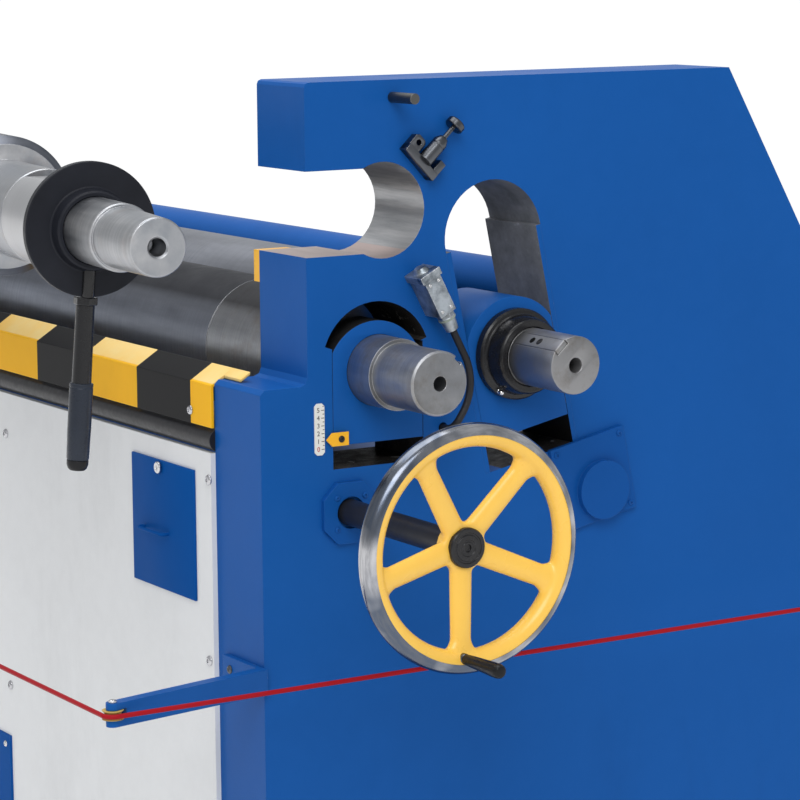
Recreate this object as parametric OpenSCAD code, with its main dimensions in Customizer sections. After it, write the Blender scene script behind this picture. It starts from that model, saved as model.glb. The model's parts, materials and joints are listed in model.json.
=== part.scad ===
// Powered plate rolling machine: three rolls between two heavy end frames.
// The upper roll swings out to the front so that a finished tube can be drawn off.
// Row frame: X along the rolls (+X is the drop end), -Y is the operator's side, Z is up.
// The origin is on the floor at the centre of the four anchor holes.

/* [Rolls] */
// Working length of the upper and lower roll in mm
roll_len = 2050; // [1050:10:2550]
// Diameter of the upper roll in mm
upper_d = 160; // [90:1:200]
// Diameter of the lower and of the rear roll in mm
roll_d = 152; // [90:1:200]
// Height of the upper roll's axis above the floor in mm
top_axis_z = 1065.5; // [900:0.5:1200]
// Height of the lower roll's axis above the floor in mm
lower_axis_z = 896.5; // [800:0.5:1000]
// How far the lower roll's axis stands in front of the upper one in mm
lower_axis_front = 8; // [0:1:20]
// Height of the rear roll's axis above the floor in mm
rear_axis_z = 901; // [800:1:1000]
// How far the rear roll's axis stands behind the upper one in mm
rear_axis_back = 165; // [150:1:220]
// Angle by which the rear roll's slot leans back at its foot in degrees
slot_lean = 11.5; // [0:0.5:30]
// Angle by which the upper roll is swung out to the front in degrees
swing_out = 7.95; // [0:0.05:12]

/* [End frames] */
// Thickness of each end frame in mm
frame_t = 100; // [60:1:140]
// Overall height of the end frames in mm
frame_h = 1202; // [1000:1:1400]
// Depth of the end frames from front to rear in mm
frame_depth = 800; // [600:10:1000]
// Height of the ledge on the end frame's front in mm
ledge_z = 886; // [800:1:950]
// How far the frame's foot stands in front of its upper arm in mm
ledge_step = 57; // [20:1:90]
// Height of the mouth through which the upper roll swings in mm
mouth_h = 89.5; // [70:0.5:110]
// Radius of the round seat at the end of the mouth in mm
seat_r = 51; // [40:0.5:60]
// Half width of the lower roll's slot in mm
lower_slot_r = 56; // [40:0.5:70]
// Half width of the rear roll's slot in mm
rear_slot_r = 62; // [45:0.5:80]
// Thickness of the wear strips on the rear slot's walls in mm
liner_t = 6; // [3:0.5:8]

/* [Cabinet] */
// Height of the front panel's top edge in mm
panel_top_z = 807; // [700:1:850]
// Height of the bend line of the striped guard in mm
guard_bend_z = 880; // [800:1:900]
// Length of the drive housing at the left end in mm
housing_len = 500; // [300:10:800]

/* [Handwheel] */
// Outer diameter of the handwheel in mm
wheel_d = 250; // [160:1:320]
// Distance of the handwheel rim's middle plane from the end frame in mm
wheel_out = 234; // [120:1:300]
// Height of the handwheel's shaft above the floor in mm
wheel_z = 748; // [600:1:850]
// Number of handwheel spokes
spoke_count = 5; // [3:1:6]

/* [Safety rope] */
// Height of the pull rope above the floor in mm
rope_z = 592; // [300:1:900]
// Diameter of the pull rope in mm
rope_d = 5; // [3:0.5:8]

/* [Hidden] */

// ---------- shared positions ----------
roll_r = roll_d / 2;
// the base runs from the drop end's face to the drive housing's far side
inner_gap = 2300;
base_len = inner_gap + 2 * frame_t + housing_len;
// X of the drop end's face
end_x = base_len / 2;
right_in_x = end_x - frame_t;
left_in_x = right_in_x - inner_gap;
left_out_x = left_in_x - frame_t;
housing_x = left_out_x - housing_len;
// distances from the end face to where the upper, the rear and the lower roll's working length ends
body_gap = 261;
rear_gap = 250;
lower_gap = 245;
// distance from the end face to the upright axis on which the upper roll swings
pivot_dist = frame_t / 2 + inner_gap + frame_t;
pivot_x = end_x - pivot_dist;
// Y of the upper roll's closed axis, of the frame's front face and of the upper arm's front face
seat_y = -frame_depth / 2 + 151;
foot_y = -frame_depth / 2;
back_y = frame_depth / 2;
arm_y = foot_y + ledge_step;
lower_y = seat_y - lower_axis_front;
rear_y = seat_y + rear_axis_back;
// running clearance of every shaft in its hole
run_c = 0.05;

// a round bar along +X from x = 0
module rod_x(r, l, n = 64) {
    rotate([0, 90, 0]) cylinder(r = r, h = l, $fn = n);
}

// a profile drawn in Y and Z, standing from x = x0 with thickness t
module plate_x(x0, t) {
    translate([x0, 0, 0]) rotate([90, 0, 90]) linear_extrude(height = t) children();
}

// a round bar along +X whose far edge is bevelled
module journal(r, l, c) {
    rod_x(r, l - c);
    translate([l - c, 0, 0]) rotate([0, 90, 0]) cylinder(r1 = r, r2 = r - c, h = c, $fn = 64);
}

// ---------- end frames ----------
// outline of an end frame in Y and Z
slant_top_y = seat_y + 457;
slant_foot_z = 866;
nose_r = 5;
ledge_r = 9;
module frame_outline() {
    polygon([[foot_y, foot_t], [back_y, foot_t], [back_y, slant_foot_z], [slant_top_y, frame_h],
             [arm_y + nose_r, frame_h], [arm_y + nose_r * 0.3, frame_h - nose_r * 0.3],
             [arm_y, frame_h - nose_r], [arm_y, ledge_z + ledge_r],
             [arm_y - ledge_r * 0.3, ledge_z + ledge_r * 0.3], [arm_y - ledge_r, ledge_z],
             [foot_y + nose_r, ledge_z], [foot_y, ledge_z - nose_r]]);
}

// the mouth and its round seat
module mouth_cut() {
    translate([seat_y, top_axis_z]) circle(r = seat_r, $fn = 64);
    translate([arm_y - 20, top_axis_z - mouth_h / 2]) square([seat_y - arm_y + 20, mouth_h]);
}

// the lower roll's upright slot widens into a round relief over the sliding block
relief_r = 67;
relief_y = lower_y - 1.6;
relief_z = 903;
relief_from = 21;
relief_to = 160;
lower_slot_foot = 795;
module lower_slot_cut() {
    intersection() {
        translate([relief_y, relief_z]) circle(r = relief_r, $fn = 96);
        translate([relief_y, relief_z])
            polygon([[0, 0], [2 * relief_r * cos(relief_from), 2 * relief_r * sin(relief_from)],
                     [0, 3 * relief_r], [2 * relief_r * cos(relief_to), 2 * relief_r * sin(relief_to)]]);
    }
    translate([lower_y - lower_slot_r, lower_slot_foot])
        square([2 * lower_slot_r, relief_z + 21 - lower_slot_foot]);
}

// the rear roll's leaning slot, drawn about the rear roll's axis with its length along Y
rear_up = 131;
rear_down = 120;
module rear_slot_cut() {
    translate([rear_y, rear_axis_z]) rotate(slot_lean) {
        translate([0, rear_up]) circle(r = rear_slot_r, $fn = 64);
        translate([-rear_slot_r, -rear_down]) square([2 * rear_slot_r, rear_up + rear_down]);
    }
}

foot_t = 20;
shaft_r = 14;
module right_stand() {
    color([0.16, 0.36, 0.63])
    difference() {
        plate_x(right_in_x, frame_t) difference() {
            frame_outline();
            mouth_cut();
            lower_slot_cut();
            rear_slot_cut();
        }
        translate([end_x - shaft_in, wheel_y, wheel_z]) rod_x(shaft_r + run_c, shaft_in + 1);
        translate([end_x - lead_in, lead_y, lead_z]) rod_x(lead_r, lead_in + 1, 24);
    }
}

pivot_r = 62;
trunnion_r = 20;
module left_stand() {
    color([0.16, 0.36, 0.63])
    difference() {
        plate_x(left_in_x - frame_t, frame_t) difference() {
            frame_outline();
            lower_slot_cut();
            rear_slot_cut();
            translate([seat_y - pivot_r - 14, top_axis_z - pivot_r]) square([2 * pivot_r + 28, 2 * pivot_r]);
        }
        translate([pivot_x, seat_y, top_axis_z - pivot_r - 22])
            cylinder(r = trunnion_r + run_c, h = 2 * pivot_r + 44, $fn = 48);
    }
}

// the drive housing is a closed sheet-metal case, so it is drawn solid;
// a pocket leaves room for the swivel block of the upper roll
pocket_half = 75;
pocket_t = 24;
module drive_housing() {
    color([0.16, 0.36, 0.63])
    difference() {
        plate_x(housing_x, housing_len)
            polygon([[foot_y, foot_t], [back_y, foot_t], [back_y, slant_foot_z], [slant_top_y, frame_h - 4],
                     [arm_y + 30, frame_h - 4], [foot_y, ledge_z + 150]]);
        translate([left_out_x - pocket_t, seat_y - pocket_half, top_axis_z - pocket_half])
            cube([pocket_t + 1, 2 * pocket_half, 2 * pocket_half]);
    }
}

anchor_r = 9;
anchor_out = 35;
anchor_y = 340;
flange_out = 65;
module foot_plates() {
    color([0.13, 0.3, 0.53])
    for (s = [1, -1])
        difference() {
            if (s > 0) {
                translate([right_in_x - 20, foot_y, 0])
                    cube([frame_t + 20 + flange_out, frame_depth, foot_t]);
            } else {
                translate([housing_x - flange_out, foot_y, 0])
                    cube([housing_len + frame_t + 20 + flange_out, frame_depth, foot_t]);
            }
            for (t = [1, -1])
                translate([s * (end_x + anchor_out), t * anchor_y, -1])
                    cylinder(r = anchor_r, h = foot_t + 2, $fn = 48);
        }
}

// ---------- cabinet between the end frames ----------
cabinet_top_z = 780;
cabinet_front_y = foot_y + 2;
module cabinet() {
    color([0.16, 0.36, 0.63])
    translate([left_in_x, cabinet_front_y, foot_t + 20])
        cube([inner_gap, frame_depth - 62, cabinet_top_z - foot_t - 20]);
}

panel_t = 8;
panel_front_y = cabinet_front_y - panel_t;
module front_panel() {
    color([0.82, 0.83, 0.84])
    translate([left_in_x, panel_front_y, foot_t + 30])
        cube([inner_gap, panel_t, panel_top_z - foot_t - 30]);
}

hatch_w = 147;
hatch_h = 144;
hatch_x = end_x - 282;
hatch_z = 640;
hatch_t = 3;
pull_x = 27;
pull_len = 61;
pull_t = 4;
pull_out = 7;
module service_hatch() {
    color([0.15, 0.35, 0.62]) {
        translate([hatch_x, panel_front_y - hatch_t, hatch_z]) cube([hatch_w, hatch_t, hatch_h]);
        // round lock and a slim pull
        translate([hatch_x + 69, panel_front_y - hatch_t - 2, hatch_z + hatch_h - 8])
            rotate([-90, 0, 0]) cylinder(r = 6, h = 2, $fn = 32);
        for (px = [pull_x, pull_x + pull_len - pull_t])
            translate([hatch_x + px, panel_front_y - hatch_t - pull_out, hatch_z + 62])
                cube([pull_t, pull_out, pull_t]);
        translate([hatch_x + pull_x, panel_front_y - hatch_t - pull_out - pull_t, hatch_z + 62])
            cube([pull_len, pull_t, pull_t]);
    }
}

cover_w = 300;
module lower_cover() {
    color([0.15, 0.35, 0.62])
    translate([end_x - 634 - cover_w, panel_front_y - hatch_t, 150]) cube([cover_w, hatch_t, 227]);
}

module rear_panel() {
    color([0.16, 0.36, 0.63])
    translate([left_in_x + 10, cabinet_front_y + frame_depth - 62, foot_t + 40])
        cube([inner_gap - 20, 5, cabinet_top_z - foot_t - 60]);
}

// striped guard: a bent sheet in front of the lower roll
guard_front_y = foot_y - 4;
guard_t = 3;
guard_low_z = 834;
guard_back = 27;
guard_rise = 17;
module striped_guard() {
    color([0.95, 0.72, 0.15])
    plate_x(left_in_x, inner_gap)
        polygon([[guard_front_y, guard_low_z], [guard_front_y, guard_bend_z],
                 [guard_front_y + guard_back, guard_bend_z + guard_rise],
                 [guard_front_y + guard_back, guard_bend_z + guard_rise - guard_t],
                 [guard_front_y + guard_t, guard_bend_z - guard_t * 0.6],
                 [guard_front_y + guard_t, guard_low_z]]);
}

guard_tube_r = 13;
module guard_tube() {
    color([0.08, 0.08, 0.09])
    translate([left_in_x, foot_y + 6, 820.5]) rod_x(guard_tube_r, inner_gap, 40);
}

tie_r = 30;
tie_y = seat_y + 300;
tie_z = 947;
module tie_tube() {
    color([0.16, 0.36, 0.63])
    translate([left_in_x, tie_y, tie_z]) rod_x(tie_r, inner_gap, 56);
}

// wear strips on both walls of the rear slot
module liners(x0) {
    plate_x(x0, frame_t)
        translate([rear_y, rear_axis_z]) rotate(slot_lean)
            for (s = [1, -1])
                translate([s * (rear_slot_r - liner_t / 2) - liner_t / 2, -rear_down])
                    square([liner_t, rear_down + rear_up - 2]);
}
module right_liners() {
    color([0.36, 0.37, 0.39]) liners(right_in_x);
}
module left_liners() {
    color([0.36, 0.37, 0.39]) liners(left_in_x - frame_t);
}

module lip_plate() {
    color([0.95, 0.72, 0.15])
    translate([right_in_x - 12, arm_y, top_axis_z - mouth_h / 2 - 34]) cube([12, 40, 34]);
}

// ---------- small pieces on the drop end ----------
// the limit switch sits askew, its cable gland at the low rear corner
switch_y = seat_y + 52;
switch_z = 950;
switch_lean = 27.7;
switch_w = 31;
switch_d = 21;
switch_h = 44;
gland_x = 20;
gland_out = 12;
gland_len = 22;
module limit_switch() {
    color([0.62, 0.64, 0.66])
    translate([end_x, switch_y, switch_z]) rotate([switch_lean, 0, 0]) {
        cube([switch_w, switch_d, switch_h]);
        translate([0, -3, switch_h - 1]) cube([switch_w + 2, switch_d + 5, 8]);
        translate([16, 10, switch_h + 7]) cylinder(r1 = 9, r2 = 6, h = 5, $fn = 32);
        translate([gland_x, gland_out, -6]) cylinder(r = 9.5, h = 6, $fn = 6);
        translate([gland_x, gland_out, -gland_len]) cylinder(r1 = 7, r2 = 9, h = gland_len - 6, $fn = 32);
    }
}

cable_r = 4;
// the cable leaves the gland, bends down and forward, then turns into a hole in the frame
cable_x = end_x + gland_x;
cable_lead = 34;
cable_bend_r = 60;
cable_head = -125;
cable_run = 8;
cable_turn_r = 12;
gland_y = switch_y + gland_out * cos(switch_lean) + gland_len * sin(switch_lean);
gland_z = switch_z + gland_out * sin(switch_lean) - gland_len * cos(switch_lean);
arc_y = gland_y + cable_lead * sin(switch_lean) - cable_bend_r * cos(switch_lean);
arc_z = gland_z - cable_lead * cos(switch_lean) - cable_bend_r * sin(switch_lean);
drop_y = arc_y + cable_bend_r * cos(cable_head + 90);
drop_z = arc_z + cable_bend_r * sin(cable_head + 90);
turn_y = drop_y + cable_run * cos(cable_head);
turn_z = drop_z + cable_run * sin(cable_head);
lead_in = 30;
lead_r = 5.5;
lead_y = turn_y + cable_turn_r * cos(cable_head);
lead_z = turn_z + cable_turn_r * sin(cable_head);
// each station holds its place, its heading in the YZ plane and how far it has turned to the frame
function heading_y(a) = [0, cos(a), sin(a)];
cable_stations = concat(
    [[[cable_x, gland_y, gland_z], switch_lean - 90, 0]],
    [for (a = [switch_lean:-(switch_lean - cable_head - 90) / 10:cable_head + 89.9])
        [[cable_x, arc_y, arc_z] + cable_bend_r * heading_y(a), a - 90, 0]],
    [for (q = [0:15:90])
        [[cable_x, turn_y, turn_z] + cable_turn_r * (sin(q) * heading_y(cable_head) + [cos(q) - 1, 0, 0]),
         cable_head, q]],
    [[[end_x - lead_in + 5, lead_y, lead_z], cable_head, 90]]);
cable_sides = 10;
cable_points = [for (s = cable_stations, i = [0:cable_sides - 1])
    let (w = i * 360 / cable_sides)
        s[0] + cable_r * (cos(w) * heading_y(s[1] + 90)
                          + sin(w) * ([cos(s[2]), 0, 0] + sin(s[2]) * heading_y(s[1])))];
cable_last = (len(cable_stations) - 1) * cable_sides;
module switch_cable() {
    color([0.06, 0.06, 0.07])
    polyhedron(
        points = cable_points,
        faces = concat(
            [[for (i = [0:cable_sides - 1]) i]],
            [[for (i = [cable_sides - 1:-1:0]) cable_last + i]],
            [for (k = [0:cable_sides:cable_last - 1], i = [0:cable_sides - 1])
                let (j = (i + 1) % cable_sides)
                    [k + i, k + cable_sides + i, k + cable_sides + j, k + j]]));
}

// spring plunger on an askew bar, with a small lug beside it
latch_y = seat_y + 52.9;
latch_z = 1111.7;
latch_lean = 40.5;
plunger_x = 12;
module latch() {
    color([0.2, 0.2, 0.22])
    translate([end_x, latch_y, latch_z]) rotate([-latch_lean, 0, 0]) {
        translate([0, -37, -12]) cube([18, 57, 12]);
        translate([0, 14, -4]) cube([14, 7, 15]);
        difference() {
            translate([0, -43, -9]) cube([19, 19, 22]);
            translate([11, -33.5, 3]) rod_x(4, 9, 24);
        }
        translate([plunger_x, 0, -1]) {
            cylinder(r = 11, h = 30, $fn = 40);
            translate([0, 0, 30]) cylinder(r1 = 11, r2 = 8, h = 3, $fn = 40);
            cylinder(r = 4.5, h = 46, $fn = 24);
            translate([0, 0, 43]) cylinder(r1 = 9, r2 = 11, h = 6, $fn = 40);
            translate([0, 0, 49]) cylinder(r1 = 11, r2 = 8, h = 9, $fn = 40);
        }
    }
}

pin_z = top_axis_z + 118;
module stop_pin() {
    color([0.2, 0.2, 0.22])
    translate([end_x, seat_y + 12.5, pin_z]) rod_x(5.7, 45, 32);
}

scale_y = seat_y - 87;
scale_z = 812;
scale_w = 12;
scale_h = 55;
scale_r = 3;
module scale_strip() {
    color([0.9, 0.9, 0.88])
    plate_x(end_x, 1.5) translate([scale_y, scale_z])
        difference() {
            square([scale_w, scale_h]);
            for (cy = [0, scale_w], cz = [0, scale_h])
                translate([cy, cz]) circle(r = scale_r, $fn = 4);
        }
}

boss_t = 6;
wheel_y = seat_y - 46;
module shaft_boss() {
    color([0.15, 0.34, 0.6])
    translate([end_x, wheel_y, wheel_z])
        difference() {
            rotate([0, 90, 0]) linear_extrude(height = boss_t)
                polygon([[-33, -16], [-16, -33], [16, -33], [33, -16], [33, 16], [16, 33], [-16, 33], [-33, 16]]);
            translate([-1, 0, 0]) rod_x(shaft_r + 3, boss_t + 2);
        }
}

// tilted plate with a round cap over the rear roll's adjusting gear
module adjuster_cover() {
    color([0.15, 0.34, 0.6])
    translate([end_x, seat_y + 268, 752]) rotate([slot_lean, 0, 0]) {
        translate([0, -50, -48]) cube([6, 100, 96]);
        translate([6, 8, -14]) rod_x(33, 8, 56);
    }
}

// ---------- safety rope round the machine ----------
arm_reach_x = 82;
arm_reach_y = 217;
pulley_r = 11;
pulley_groove_r = 8.5;
pulley_t = 9;
corner_x = end_x + arm_reach_x;
corner_y = back_y + arm_reach_y;
arm_t = 14;
arm_len = sqrt(arm_reach_x * arm_reach_x + arm_reach_y * arm_reach_y);
arm_turn = atan2(arm_reach_y, arm_reach_x);
slot_half = pulley_t / 2 + 0.4;
// root flange on the frame and a tapered arm, slotted at its rounded tip for the pulley
module one_arm() {
    translate([-80, 0, -27]) cube([78, 6, 27]);
    difference() {
        rotate([0, 0, arm_turn]) {
            translate([0, arm_t / 2, 0]) rotate([90, 0, 0]) linear_extrude(height = arm_t)
                polygon([[-12, -27.5], [-12, -0.5], [arm_len, 12], [arm_len, -12]]);
            translate([arm_len, 0, -12]) cylinder(r = arm_t / 2, h = 24, $fn = 32);
        }
        translate([-40, -40, -40]) cube([80, 40, 80]);
        translate([arm_reach_x, arm_reach_y, -slot_half]) cylinder(r = pulley_r + 3.5, h = 2 * slot_half, $fn = 48);
    }
}
module rope_arms() {
    color([0.13, 0.34, 0.65])
    for (mx = [0, 1], my = [0, 1])
        mirror([mx, 0, 0]) mirror([0, my, 0])
            translate([end_x, back_y, rope_z]) one_arm();
}
module rope_pulleys() {
    color([0.72, 0.6, 0.3])
    for (mx = [1, -1], my = [1, -1])
        translate([mx * corner_x, my * corner_y, rope_z - pulley_t / 2])
            rotate_extrude($fn = 40)
                polygon([[0, 0], [pulley_r, 0], [pulley_groove_r, pulley_t * 0.3],
                         [pulley_groove_r, pulley_t * 0.7], [pulley_r, pulley_t], [0, pulley_t]]);
}
// the rope runs as one taut loop round the four pulleys
rope_bend_r = pulley_groove_r + rope_d / 2 + 0.1;
module pull_rope() {
    color([0.75, 0.08, 0.08])
    translate([0, 0, rope_z]) {
        for (s = [1, -1]) {
            translate([-corner_x, s * (corner_y + rope_bend_r), 0])
                rod_x(rope_d / 2, 2 * corner_x, 16);
            translate([s * (corner_x + rope_bend_r), -corner_y, 0])
                rotate([-90, 0, 0]) cylinder(r = rope_d / 2, h = 2 * corner_y, $fn = 16);
        }
        for (q = [[1, 1, 0], [-1, 1, 90], [-1, -1, 180], [1, -1, 270]])
            translate([q[0] * corner_x, q[1] * corner_y, 0]) rotate([0, 0, q[2]])
                rotate_extrude(angle = 90, $fn = 64)
                    translate([rope_bend_r, 0]) circle(r = rope_d / 2, $fn = 16);
    }
}

// ---------- lower roll and its sliding blocks ----------
block_half = lower_slot_r - 1;
block_foot = 76.5;
block_top_r = 48.5;
block_top_z = 8.5;
block_shoulder = 18.5;
lower_neck_r = 38;
module lower_block(x0, t) {
    difference() {
        plate_x(x0, t) translate([lower_y, lower_axis_z]) {
            translate([-4.5, block_top_z]) circle(r = block_top_r, $fn = 96);
            translate([-block_half, -block_foot]) square([2 * block_half, block_foot + block_shoulder]);
        }
        translate([x0 - 1, lower_y, lower_axis_z]) rod_x(lower_neck_r + run_c, t + 2);
    }
}
module lower_block_right() {
    color([0.17, 0.37, 0.65]) lower_block(right_in_x, frame_t);
}
module lower_block_left() {
    color([0.17, 0.37, 0.65]) lower_block(left_out_x + 2, frame_t - 2);
}
pointer_z = -69;
pointer_half = 7.2;
module scale_pointer() {
    color([0.93, 0.75, 0.15]) {
        translate([end_x + 2, lower_y, lower_axis_z + pointer_z]) plate_x(0, 2)
            polygon([[-66, 0], [-59, pointer_half], [-39, pointer_half], [-39, -pointer_half], [-59, -pointer_half]]);
        translate([end_x, lower_y - 48, lower_axis_z + pointer_z]) rod_x(4, 2, 24);
    }
}

// distance between a roll's body and each end frame
roll_gap = 10;
groove_w = 2;
lower_end_r = 34;
lower_out = 122;
lower_step = 44;
centre_r = 8;
centre_t = 40;
keyway_turn = -45;
keyway_w = 10;
keyway_t = 4;
module lower_roll() {
    color([0.33, 0.35, 0.38])
    translate([0, lower_y, lower_axis_z])
        difference() {
            union() {
                difference() {
                    translate([left_in_x + roll_gap, 0, 0]) rod_x(roll_r, inner_gap - 2 * roll_gap, 96);
                    for (gx = [end_x - lower_gap, end_x - lower_gap - roll_len])
                        translate([gx, 0, 0]) rotate([0, 90, 0])
                            difference() {
                                cylinder(r = roll_r + 1, h = groove_w, $fn = 96);
                                translate([0, 0, -1]) cylinder(r = roll_r - 1.2, h = groove_w + 2, $fn = 96);
                            }
                }
                translate([left_out_x + 6, 0, 0])
                    rod_x(lower_neck_r, base_len - housing_len - 6 + lower_step);
                translate([end_x + lower_step - 1, 0, 0]) journal(lower_end_r, lower_out - lower_step + 1, 2);
            }
            translate([end_x + lower_out - centre_t, 0, 0]) rod_x(centre_r, centre_t + 1, 32);
            // keyway at the free end
            rotate([keyway_turn, 0, 0])
                translate([end_x + lower_step + 20, -keyway_w / 2, lower_end_r - keyway_t])
                    cube([lower_out, keyway_w, 2 * keyway_t]);
        }
}

// ---------- rear roll and its sliding blocks ----------
rear_half = rear_slot_r - liner_t - 0.6;
rear_foot = 86.5;
rear_neck_r = 38;
rear_mid_r = 36;
rear_end_r = 32;
rear_waist_r = 46;
rear_out = 125;
collar_t = 24;
module rear_block(x0, t) {
    difference() {
        plate_x(x0, t) translate([rear_y, rear_axis_z]) rotate(slot_lean) {
            circle(r = rear_half, $fn = 72);
            translate([-rear_half, -rear_foot]) square([2 * rear_half, rear_foot]);
        }
        translate([x0 - 1, rear_y, rear_axis_z]) rod_x(rear_neck_r + run_c, t + 2);
    }
}
module rear_block_right() {
    color([0.17, 0.37, 0.65]) rear_block(right_in_x, frame_t);
}
module rear_block_left() {
    color([0.17, 0.37, 0.65]) rear_block(left_out_x + 2, frame_t - 2);
}
collar_bore = rear_mid_r + 0.6;
collar_r = 50.6;
boss_r = 42;
module rear_collar() {
    color([0.09, 0.09, 0.1])
    translate([end_x, rear_y, rear_axis_z])
        difference() {
            union() {
                rod_x(collar_r, 7, 72);
                translate([7, 0, 0]) rotate([0, 90, 0]) cylinder(r1 = collar_r, r2 = collar_r - 2, h = 2, $fn = 72);
                rod_x(boss_r, collar_t - 2, 64);
                translate([collar_t - 2, 0, 0]) rotate([0, 90, 0]) cylinder(r1 = boss_r, r2 = boss_r - 2, h = 2, $fn = 64);
            }
            translate([-1, 0, 0]) rod_x(collar_bore, collar_t + 2);
        }
}
// the flat key in the rear roll's free end lies a little below the shaft's surface
key_turn = 50;
key_w = 18;
key_top = 30.5;
key_t = 6;
key_l = rear_out - collar_t;
module rear_roll() {
    color([0.45, 0.46, 0.48])
    translate([0, rear_y, rear_axis_z])
        difference() {
            union() {
                translate([left_in_x + roll_gap, 0, 0])
                    rod_x(roll_r, end_x - rear_gap - left_in_x - roll_gap, 96);
                translate([end_x - rear_gap - 1, 0, 0]) rod_x(rear_waist_r, rear_gap - frame_t - roll_gap + 1);
                translate([left_out_x + 6, 0, 0]) rod_x(rear_neck_r, base_len - housing_len - 8);
                translate([end_x - 3, 0, 0]) rod_x(rear_mid_r, collar_t + 3);
                translate([end_x, 0, 0]) journal(rear_end_r, rear_out, 2);
            }
            translate([end_x + rear_out - centre_t, 0, 0]) rod_x(centre_r, centre_t + 1, 32);
            rotate([key_turn, 0, 0])
                translate([end_x + collar_t, -key_w / 2, key_top - key_t]) cube([key_l + 1, key_w, 2 * key_t]);
        }
}
module rear_key() {
    color([0.4, 0.4, 0.42])
    translate([0, rear_y, rear_axis_z]) rotate([key_turn, 0, 0])
        translate([end_x + collar_t + 0.2, -key_w / 2 + 0.1, key_top - key_t])
            cube([key_l - 0.4, key_w - 0.2, key_t]);
}

// ---------- upper roll, swung out about the upright axis in the left frame ----------
// everything below is drawn along X from the swing axis and then turned to the front
module swung() {
    translate([pivot_x, seat_y, top_axis_z]) rotate([0, 0, -swing_out]) children();
}
tail_r = 45;
swivel_r = 58;
swivel_half = 57;
module swivel_block() {
    color([0.25, 0.26, 0.28])
    swung()
        difference() {
            union() {
                translate([0, 0, -swivel_half]) cylinder(r = swivel_r, h = 2 * swivel_half, $fn = 72);
                translate([0, 0, -80]) cylinder(r = trunnion_r, h = 160, $fn = 48);
            }
            translate([-swivel_r - 2, 0, 0]) rod_x(tail_r + run_c, 2 * swivel_r + 4);
        }
}

upper_r = upper_d / 2;
upper_bevel = 9;
top_neck_r = 53;
shaft_a_r = 35.5;
shaft_b_r = 33;
shaft_tip_r = 28;
top_centre_r = 8.5;
bush_in = 112;
shaft_a_end = 121;
top_out = 231;
body_x0 = pivot_dist - body_gap - roll_len;
body_x1 = pivot_dist - body_gap;
module top_roll() {
    color([0.45, 0.46, 0.48])
    swung()
        difference() {
            union() {
                translate([body_x0 + upper_bevel, 0, 0]) rod_x(upper_r, roll_len - 2 * upper_bevel, 96);
                translate([body_x0, 0, 0]) rotate([0, 90, 0])
                    cylinder(r1 = upper_r - upper_bevel, r2 = upper_r, h = upper_bevel, $fn = 96);
                translate([body_x1 - upper_bevel, 0, 0]) rotate([0, 90, 0])
                    cylinder(r1 = upper_r, r2 = upper_r - upper_bevel, h = upper_bevel, $fn = 96);
                translate([-48, 0, 0]) rod_x(tail_r, body_x0 + 58);
                translate([body_x1 - 10, 0, 0]) rod_x(top_neck_r, body_gap - bush_in - 1 + 10);
                translate([body_x1 - 10, 0, 0]) rod_x(shaft_a_r, body_gap + shaft_a_end + 10);
                translate([pivot_dist + shaft_a_end, 0, 0]) rotate([0, 90, 0])
                    cylinder(r1 = shaft_b_r, r2 = shaft_tip_r, h = top_out - shaft_a_end - 1, $fn = 64);
                translate([pivot_dist + top_out - 1, 0, 0]) rotate([0, 90, 0])
                    cylinder(r1 = shaft_tip_r, r2 = shaft_tip_r - 1, h = 1, $fn = 64);
            }
            translate([pivot_dist + top_out - centre_t, 0, 0]) rod_x(top_centre_r, centre_t + 1, 32);
        }
}

// the bush lies in the seat when closed; its flats let it through the mouth
bush_flat = mouth_h / 2 - 1.2;
bush_r = 50;
bush_out = 18;
ring_x = 20;
module bearing_bush() {
    color([0.55, 0.56, 0.58])
    swung() translate([pivot_dist, 0, 0])
        difference() {
            translate([-bush_in, 0, 0]) rod_x(bush_r, bush_in + bush_out, 72);
            translate([-bush_in - 1, 0, 0]) rod_x(shaft_a_r + run_c, bush_in + bush_out + 2);
            for (s = [1, -1])
                translate([-bush_in - 1, -bush_r, s * (bush_flat + 10) - 10])
                    cube([bush_in + 5, 2 * bush_r, 20]);
        }
}

ring_t = 10;
ring_r = 68;
ring_boss_r = 44.5;
ring_boss_t = 15;
lever_lean = 5.6;
lever_x = ring_x + ring_t;
socket_r = 7.5;
lever_neck = ring_r + 0.1;
module lock_ring() {
    color([0.1, 0.1, 0.11])
    swung() translate([pivot_dist + ring_x, 0, 0])
        difference() {
            union() {
                rod_x(ring_r, ring_t, 96);
                translate([ring_t - 1, 0, 0]) rotate([0, 90, 0])
                    cylinder(r1 = ring_boss_r, r2 = ring_boss_r - 4, h = ring_boss_t + 1, $fn = 72);
                translate([ring_t, 0, 0]) rotate([180 - lever_lean, 0, 0])
                    translate([0, 0, ring_boss_r - 4]) cylinder(r = socket_r, h = lever_neck - ring_boss_r + 4, $fn = 32);
            }
            translate([-1, 0, 0]) rod_x(shaft_a_r + run_c, ring_t + ring_boss_t + 2);
        }
}
nut_r = 12.2;
nut_h = 8;
grip_from = 154;
cap_from = 232;
lever_end = 242;
module lock_lever() {
    color([0.1, 0.1, 0.11])
    swung() translate([pivot_dist + lever_x, 0, 0]) rotate([180 - lever_lean, 0, 0]) {
        translate([0, 0, lever_neck]) cylinder(r = nut_r, h = nut_h, $fn = 6);
        translate([0, 0, lever_neck + nut_h]) cylinder(r1 = 9.2, r2 = 10.2, h = grip_from - lever_neck - nut_h, $fn = 32);
        translate([0, 0, grip_from]) cylinder(r1 = 11.6, r2 = 12, h = 3, $fn = 40);
        translate([0, 0, grip_from + 3]) cylinder(r1 = 12, r2 = 11.3, h = cap_from - grip_from - 3, $fn = 40);
        translate([0, 0, cap_from]) cylinder(r1 = 11.3, r2 = 8.8, h = lever_end - cap_from, $fn = 40);
    }
}

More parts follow.
